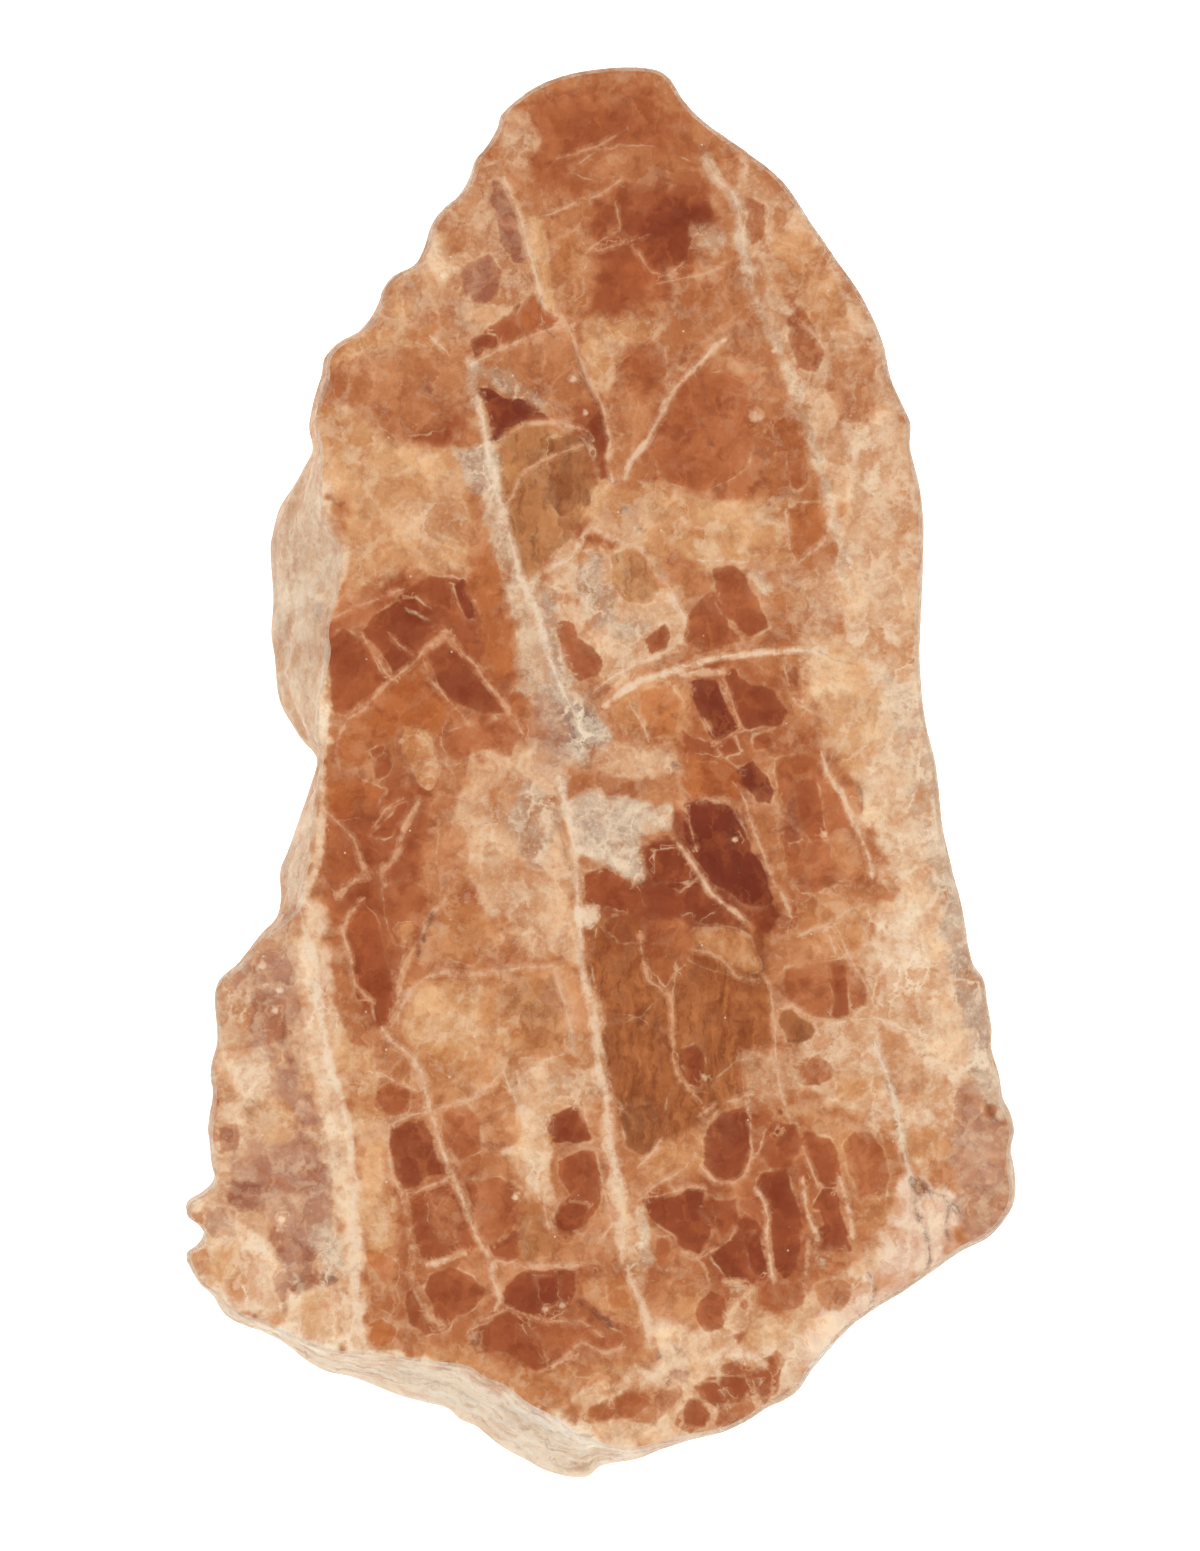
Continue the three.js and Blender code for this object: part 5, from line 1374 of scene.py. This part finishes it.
# %% Group: fine lines drawn from the stored distances
net, given, out = new_group(
    "drawn lines",
    [("Line", "Vector"), ("Strength", "Float"), ("Place", "Vector"), ("Raggedness", "Float")],
    [("Mask", "Float")],
)
line = net.parts(given["Line"])
wander = net.math("SUBTRACT", net.noise(given["Place"], 2.0, 5.0, 0.65), 0.5)
side = net.math("ABSOLUTE", net.math("ADD", line[0], net.times(wander, given["Raggedness"])))
swelling = net.step(net.noise(given["Place"], 0.9, 4.0, 0.65), 0.36, 0.66, 0.5, 2.2)
half_width = net.math("MAXIMUM", net.times(line[2], swelling), 0.45)
widths_off = net.math("DIVIDE", side, half_width)
core = net.step(widths_off, 0.35, 1.5, 1.0, 0.0)
skirt = net.step(widths_off, 0.6, 4.2, 0.42, 0.0)
mask = net.math("MAXIMUM", core, skirt)
gate = net.step(line[1], 4.0, 5.5, 1.0, 0.0)
fading = net.step(net.noise(given["Place"], 1.7, 4.0, 0.7), 0.34, 0.58, 0.12, 1.0)
net.tree.links.new(net.times(mask, gate, given["Strength"], fading), out["Mask"])
drawn_lines = net.tree
print(drawn_lines.name, len(drawn_lines.nodes), "nodes")

# %% Group: the garnet rock, with its clouds and blocks
net, given, out = new_group(
    "garnet rock",
    [("Tone", "Color"), ("Clear", "Float"), ("Grainy", "Float"), ("Fibrous", "Float"), ("Seam", "Float"),
     ("Place", "Vector"), ("Wandering", "Vector")],
    [("Color", "Color"), ("Pits", "Float")],
)
cloudy = net.math("SUBTRACT", 1.0, given["Clear"])
clouds = net.math("SUBTRACT", net.noise(given["Wandering"], 0.36, 3.0, 0.5), 0.5)
motes = net.math("SUBTRACT", net.noise(given["Wandering"], 1.5, 4.0, 0.55), 0.5)
fine = net.math("SUBTRACT", net.noise(given["Place"], 5.0, 2.0, 0.6), 0.5)

turned = net.put("ShaderNodeVectorRotate", {
    "Vector": given["Wandering"], "Angle": 0.2,
}, rotation_type="Z_AXIS").outputs[0]
cell_place = net.vector("MULTIPLY", turned, (0.75, 0.5, 0.5))
cells = net.cells(cell_place, 1.0)
cell_tone = net.math("SUBTRACT", net.red(cells["Color"]), 0.5)
cell_edge = net.cells(cell_place, 1.0, "DISTANCE_TO_EDGE")["Distance"]
seep = net.noise(given["Place"], 0.9, 4.0, 0.65)
edge_width = net.math("ADD", net.step(seep, 0.38, 0.66, 0.02, 0.24), net.times(given["Clear"], -0.015))
edges = net.math("SUBTRACT", 1.0, net.math("DIVIDE", cell_edge, edge_width), clamp=True)
edge_gate = net.step(net.noise(given["Place"], 0.5, 3.0), 0.40, 0.58)
print("clouds and blocks:", len(net.tree.nodes), "nodes")

# %% Garnet rock: random clouds, darkened as painted shade where clear garnet looks deep and paled as painted glow where it scatters light
depth = net.times(clouds, net.math("ADD", 2.2, net.times(cloudy, 1.2)))
depth = net.math("ADD", depth, net.times(cell_tone, net.math("ADD", 0.34, net.times(cloudy, 0.3))))
depth = net.math("ADD", depth, net.times(motes, net.math("ADD", 0.9, net.times(cloudy, 1.0))))
depth = net.math("ADD", depth, net.times(fine, 0.5))
# painted shade and painted glow: light sinking into clear garnet and light scattering back are put into the
# colour, over the stone's own random clouds
darkening = net.mix_vector(cloudy, (0.68, 0.42, 0.28), (0.82, 0.52, 0.28))
painted_depth_shade = net.vector("MULTIPLY", given["Tone"], darkening)
painted_glow = net.vector("MULTIPLY", given["Tone"], (1.38, 1.36, 1.24))
paler = net.mix(net.times(cloudy, 0.62), painted_glow, rgb(255, 228, 190))
dark_share = net.math("MULTIPLY", depth, 1.0, clamp=True)
pale_share = net.math("MULTIPLY", depth, -1.0, clamp=True)
colour = net.mix(dark_share, given["Tone"], painted_depth_shade)
colour = net.mix(pale_share, colour, paler)
print("with depth:", len(net.tree.nodes), "nodes")

# %% Garnet rock: blotches, and seams between the blocks
blotches = net.noise(given["Wandering"], 0.95, 5.0, 0.60)
colour = net.tinge(colour, (212, 136, 76), blotches, 0.51, 0.64, cloudy, 0.45)
milky = net.math("SUBTRACT", cloudy, net.times(given["Grainy"], 0.4), clamp=True)
colour = net.tinge(colour, (255, 234, 202), blotches, 0.50, 0.36, milky, 0.60)
edge_share = net.math("ADD", net.times(cloudy, 0.60), 0.22)
edge_tone = net.mix(given["Clear"], rgb(255, 234, 200), rgb(214, 126, 72))
colour = net.mix(net.times(edges, edge_gate, edge_share), colour, edge_tone)
tint = net.mix_vector(given["Clear"], (1.05, 1.05, 1.08), (1.02, 0.94, 0.80))
colour = net.vector("MULTIPLY", colour, tint)
print("with blotches and seams:", len(net.tree.nodes), "nodes")

# %% Garnet rock: fibres, smudges and grains
streak_place = net.vector("MULTIPLY", given["Wandering"], (3.0, 0.45, 1.0))
streaks = net.noise(streak_place, 1.0, 4.0, 0.6)
colour = net.tinge(colour, (208, 132, 76), streaks, 0.50, 0.70, given["Fibrous"], 0.45)
colour = net.tinge(colour, (116, 58, 28), streaks, 0.50, 0.32, given["Fibrous"], 0.55)
smudge = net.step(net.noise(given["Wandering"], 0.75, 4.0, 0.55), 0.50, 0.68)
colour = net.mix(net.times(smudge, given["Clear"], 0.40), colour, rgb(128, 54, 30))
grains = net.noise(given["Place"], 3.6, 4.0, 0.75)
flecks = net.noise(given["Place"], 6.4, 3.0, 0.7)
colour = net.tinge(colour, (250, 222, 188), grains, 0.50, 0.66, given["Grainy"], 0.55)
colour = net.tinge(colour, (178, 124, 88), grains, 0.46, 0.35, given["Grainy"], 0.42)
colour = net.tinge(colour, (122, 84, 62), flecks, 0.60, 0.74, given["Grainy"], 0.40)
print("with fibres and grains:", len(net.tree.nodes), "nodes")

# %% Garnet rock: cream at the borders, painted glints of the polish, and what the group gives out
seam_tone = net.mix(net.step(motes, -0.12, 0.12), rgb(252, 220, 178), rgb(222, 160, 112))
colour = net.mix(net.times(given["Seam"], 0.55), colour, seam_tone)
# painted highlight: scattered pale dots stand in for the pinpoint glints of the polish
painted_glint_cells = net.cells(given["Place"], 0.9)
chosen = net.math("GREATER_THAN", net.red(painted_glint_cells["Color"]), 0.80)
painted_glint = net.times(net.step(painted_glint_cells["Distance"], 0.02, 0.075, 1.0, 0.0), chosen)
colour = net.mix(net.times(painted_glint, 0.6), colour, rgb(255, 240, 222))
net.tree.links.new(colour, out["Color"])
net.tree.links.new(net.times(net.step(grains, 0.30, 0.60), given["Grainy"]), out["Pits"])
garnet_rock = net.tree
print(garnet_rock.name, len(garnet_rock.nodes), "nodes")

# %% What all three finishes share
GARNET_IOR = 1.74


def stone_material(name):
    """A material with the rock's colour and its drawn lines wired, and the sockets that a finish needs."""
    material = bpy.data.materials.new(name)
    material.use_nodes = True
    material.node_tree.nodes.clear()
    net = Net(material.node_tree)
    link = net.tree.links.new
    where = net.put("ShaderNodeGroup", node_tree=stone_place).outputs
    blocks = net.put("ShaderNodeGroup", node_tree=block_borders)
    link(where["Place"], blocks.inputs["Place"])
    rock = net.put("ShaderNodeGroup", node_tree=garnet_rock)
    for label in ("Tone", "Clear", "Grainy", "Fibrous", "Seam"):
        link(blocks.outputs[label], rock.inputs[label])
    for label in ("Place", "Wandering"):
        link(where[label], rock.inputs[label])
    masks = []
    for label, raggedness in (("vein", 4.0), ("crack_and_rim_shade", 5.0)):
        lines = net.put("ShaderNodeGroup", node_tree=drawn_lines)
        link(net.attribute(label), lines.inputs["Line"])
        link(net.attribute(label + "_strength", "Fac"), lines.inputs["Strength"])
        link(where["Place"], lines.inputs["Place"])
        lines.inputs["Raggedness"].default_value = raggedness
        masks.append(lines.outputs["Mask"])
    vein, crack_and_rim_shade = masks
    uneven = net.times(net.noise(where["Place"], 3.0), 0.5)
    tanned = net.math("MULTIPLY_ADD", blocks.outputs["Clear"], 0.7, uneven)
    milk = net.mix(net.math("MINIMUM", tanned, 1.0), rgb(255, 240, 212), rgb(226, 160, 112))
    colour = net.mix(net.times(vein, 0.95), rock.outputs["Color"], milk)
    # dark lines: real cracks, and the painted shade along the rim
    colour = net.mix(net.times(crack_and_rim_shade, 0.75), colour, rgb(112, 66, 48))
    surface = net.put("ShaderNodeBsdfPrincipled", {"IOR": GARNET_IOR, "Base Color": colour})
    net.put("ShaderNodeOutputMaterial", {"Surface": surface.outputs[0]})
    return SimpleNamespace(
        material=material, net=net, place=where["Place"], wandering=where["Wandering"], surface=surface,
        grainy=blocks.outputs["Grainy"], pits=rock.outputs["Pits"], vein=vein, crack_and_rim_shade=crack_and_rim_shade, colour=colour,
    )


def complete(stone, roughness, height, bump_strength, bump_depth):
    """Wires a finish's roughness and its relief, a bump as deep as bump_depth in metres, and adds it."""
    bump = stone.net.put("ShaderNodeBump", {
        "Strength": bump_strength, "Distance": bump_depth, "Height": height,
    })
    stone.net.tree.links.new(roughness, stone.surface.inputs["Roughness"])
    stone.net.tree.links.new(bump.outputs[0], stone.surface.inputs["Normal"])
    slice_mesh.materials.append(stone.material)
    print(stone.material.name, len(stone.net.tree.nodes), "nodes")


# %% [markdown]
# ## The polished face
# Clear garnet takes a mirror polish, while grainy stone and veins stay a little dull. So the gloss follows
# the same marks as the colour. Pits and cracks are too shallow for the mesh and are left to a bump.

# %% Finish 1: polished face
stone = stone_material("polished_garnet")
net = stone.net
dull = net.math("ADD", net.times(stone.grainy, 0.28), net.times(stone.vein, 0.12))
smear = net.times(net.noise(stone.place, 0.3, 3.0), 0.08)
gloss = net.math("ADD", net.math("ADD", dull, smear), 0.08)
hollows = net.math("ADD", stone.pits, net.times(stone.crack_and_rim_shade, -1.5))
complete(stone, gloss, hollows, 0.6, 0.00002)

# %% [markdown]
# ## The broken rind
# The rind is weathered stone in thin layers, dry and pale. Its paleness is also painted brightness, standing
# in for the light that shows through its thin, lit edge. It is palest along the foot. On the left shoulder
# cream and tan patches alternate, so a mottle and the place along the slice steer how pale it is. The layers
# are noise squeezed along the height, which shows as fine lines round the wall.

# %% Finish 2: broken rind
stone = stone_material("broken_rind")
net, colour = stone.net, stone.colour
layers = net.vector("MULTIPLY", stone.wandering, (0.25, 0.25, 2.6))
foot_end = net.step(net.parts(stone.place)[1], -14.0, -22.0, 0.3, 1.0)
sheets = net.noise(layers, 1.1, 5.0, 0.65)
rough = net.noise(stone.place, 2.2, 6.0, 0.7)
mottle = net.noise(stone.place, 0.8, 4.0, 0.6)
# partly painted brightness: the rind is paled towards cream, most at the foot end
pale_share = net.math("MAXIMUM", net.step(mottle, 0.42, 0.58), net.step(foot_end, 0.3, 1.0))
colour = net.mix(0.42, colour, net.mix(pale_share, rgb(222, 168, 120), rgb(252, 226, 192)))
colour = net.tinge(colour, (254, 244, 228), sheets, 0.48, 0.62, foot_end, 0.65)
colour = net.tinge(colour, (200, 146, 112), sheets, 0.47, 0.34, foot_end, 0.55)
colour = net.tinge(colour, (250, 240, 228), rough, 0.52, 0.70, 0.35)
colour = net.tinge(colour, (176, 128, 96), rough, 0.45, 0.30, 0.35)
net.tree.links.new(colour, stone.surface.inputs["Base Color"])
relief_height = net.math("ADD", rough, net.times(sheets, 1.6))
complete(stone, net.step(rough, 0.3, 0.7, 0.55, 0.85), relief_height, 0.8, 0.00025)

# %% [markdown]
# ## The sawn back
# A saw leaves the stone pale with dust and marked by faint arcs of the blade. A wave in rings, with its
# middle far outside the stone, crosses it as such arcs.

# %% Finish 3: sawn back
stone = stone_material("sawn_back")
net, colour = stone.net, stone.colour
SAW_CENTRE_MM = (-140.0, 30.0, 0.0)
from_saw = net.vector("SUBTRACT", stone.place, SAW_CENTRE_MM)
saw = net.put("ShaderNodeTexWave", {
    "Vector": from_saw, "Scale": 0.9, "Distortion": 0.6, "Detail": 2.0, "Detail Scale": 0.6,
}, wave_type="RINGS", rings_direction="Z").outputs["Fac"]
dust = net.noise(stone.place, 1.3, 5.0, 0.65)
colour = net.mix(net.step(dust, 0.35, 0.7, 0.08, 0.32), colour, rgb(204, 178, 156))
colour = net.mix(net.times(saw, 0.10), colour, rgb(244, 228, 210))
net.tree.links.new(colour, stone.surface.inputs["Base Color"])
complete(stone, net.step(saw, 0.0, 1.0, 0.5, 0.62), net.math("ADD", saw, dust), 0.35, 0.00003)

# %% Put the slice in the scene
slice_skin = bpy.data.objects.new("hessonite_slice_skin", slice_mesh)
bpy.context.scene.collection.objects.link(slice_skin)
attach(slice_skin, "root")
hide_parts("hessonite_slice")
print(slice_skin.name, "size in mm:", [round(1000 * d, 2) for d in slice_skin.dimensions])

# %% [markdown]
# ## The set
# The slice lies on a white board under even light from all sides, as on a copying stand. The lamps stand low
# enough that the polished face doesn't mirror them into the camera, so its own colours show at full depth.
# The board lets the view through from below, so that the back can be looked at too.

# %% White board
HALF_BOARD, BOARD_DROP, BOARD_GLOW = 2.0, 0.0001, 0.75
floor_mesh = bpy.data.meshes.new("white_board")
board_corners = [(x * HALF_BOARD, y * HALF_BOARD, 0) for x, y in ((-1, -1), (1, -1), (1, 1), (-1, 1))]
floor_mesh.from_pydata(board_corners, [], [(0, 1, 2, 3)])
board = bpy.data.materials.new("white_board")
board.use_nodes = True
board.node_tree.nodes.clear()
net = Net(board.node_tree)
speckle = net.noise(net.scaled(net.put("ShaderNodeTexCoord").outputs["Object"], 1000.0), 0.8, 3.0)
paper = net.mix(speckle, (0.90, 0.90, 0.90, 1), (0.94, 0.94, 0.94, 1))
surface = net.put("ShaderNodeBsdfPrincipled", {
    "Base Color": paper, "Roughness": 0.9, "Emission Color": (1, 1, 1, 1), "Emission Strength": BOARD_GLOW,
})
from_below = net.put("ShaderNodeNewGeometry").outputs["Backfacing"]
see_through = net.put("ShaderNodeBsdfTransparent").outputs[0]
seen = net.put("ShaderNodeMixShader", {0: from_below, 1: surface.outputs[0], 2: see_through})
net.put("ShaderNodeOutputMaterial", {"Surface": seen.outputs[0]})
floor_mesh.materials.append(board)
floor = bpy.data.objects.new("white_board", floor_mesh)
floor.location.z = -BOARD_DROP
bpy.context.scene.collection.objects.link(floor)
print("board", floor.dimensions[:])

# %% World and lamps
ROOM_LIGHT = 0.08
LAMP_DISTANCE, LAMP_SIZE, LAMP_WATTS = 0.6, 0.35, 1.27
LAMP_TURNS, LAMP_TILT = (45, 135, 225, 315), 44
world = bpy.data.worlds.new("dim_room")
bpy.context.scene.world = world
world.use_nodes = True
world.node_tree.nodes["Background"].inputs["Color"].default_value = (1, 1, 1, 1)
world.node_tree.nodes["Background"].inputs["Strength"].default_value = ROOM_LIGHT

up = math.radians(LAMP_TILT)
for number, turn in enumerate(LAMP_TURNS):
    around = math.radians(turn)
    lamp_data = bpy.data.lights.new(f"lamp_{number}", "AREA")
    lamp_data.shape = "SQUARE"
    lamp_data.size = LAMP_SIZE
    lamp_data.energy = LAMP_WATTS
    lamp = bpy.data.objects.new(f"lamp_{number}", lamp_data)
    lamp.location = (
        LAMP_DISTANCE * math.cos(up) * math.cos(around), LAMP_DISTANCE * math.cos(up) * math.sin(around),
        LAMP_DISTANCE * math.sin(up),
    )
    lamp.rotation_euler = (math.pi / 2 - up, 0, around + math.pi / 2)
    bpy.context.scene.collection.objects.link(lamp)
    print(lamp.name, [round(c, 3) for c in lamp.location])

# %% Camera and view
camera_data = bpy.data.cameras.new("camera")
camera_data.lens = LENS
camera_data.sensor_width = SENSOR
camera_data.sensor_fit = "AUTO"
camera_data.clip_start = 0.01
camera_data.clip_end = 20
camera = bpy.data.objects.new("camera", camera_data)
camera.location = (CAMERA_MM[0] / 1000, CAMERA_MM[1] / 1000, CAMERA_HEIGHT / 1000)
bpy.context.scene.collection.objects.link(camera)
bpy.context.scene.camera = camera
bpy.context.scene.view_settings.view_transform = "Standard"
bpy.context.scene.view_settings.look = "None"
print("camera", [round(1000 * c, 2) for c in camera.location], "mm")

# %% [markdown]
# ## The frame's box
# The skin has to fill the same box as the slice in the frame. The frame's box is printed here, and the skin's
# size was printed where it was put in the scene.

# %% Print the frame's box
bpy.context.view_layer.update()
print("CAD box:", cad_box)
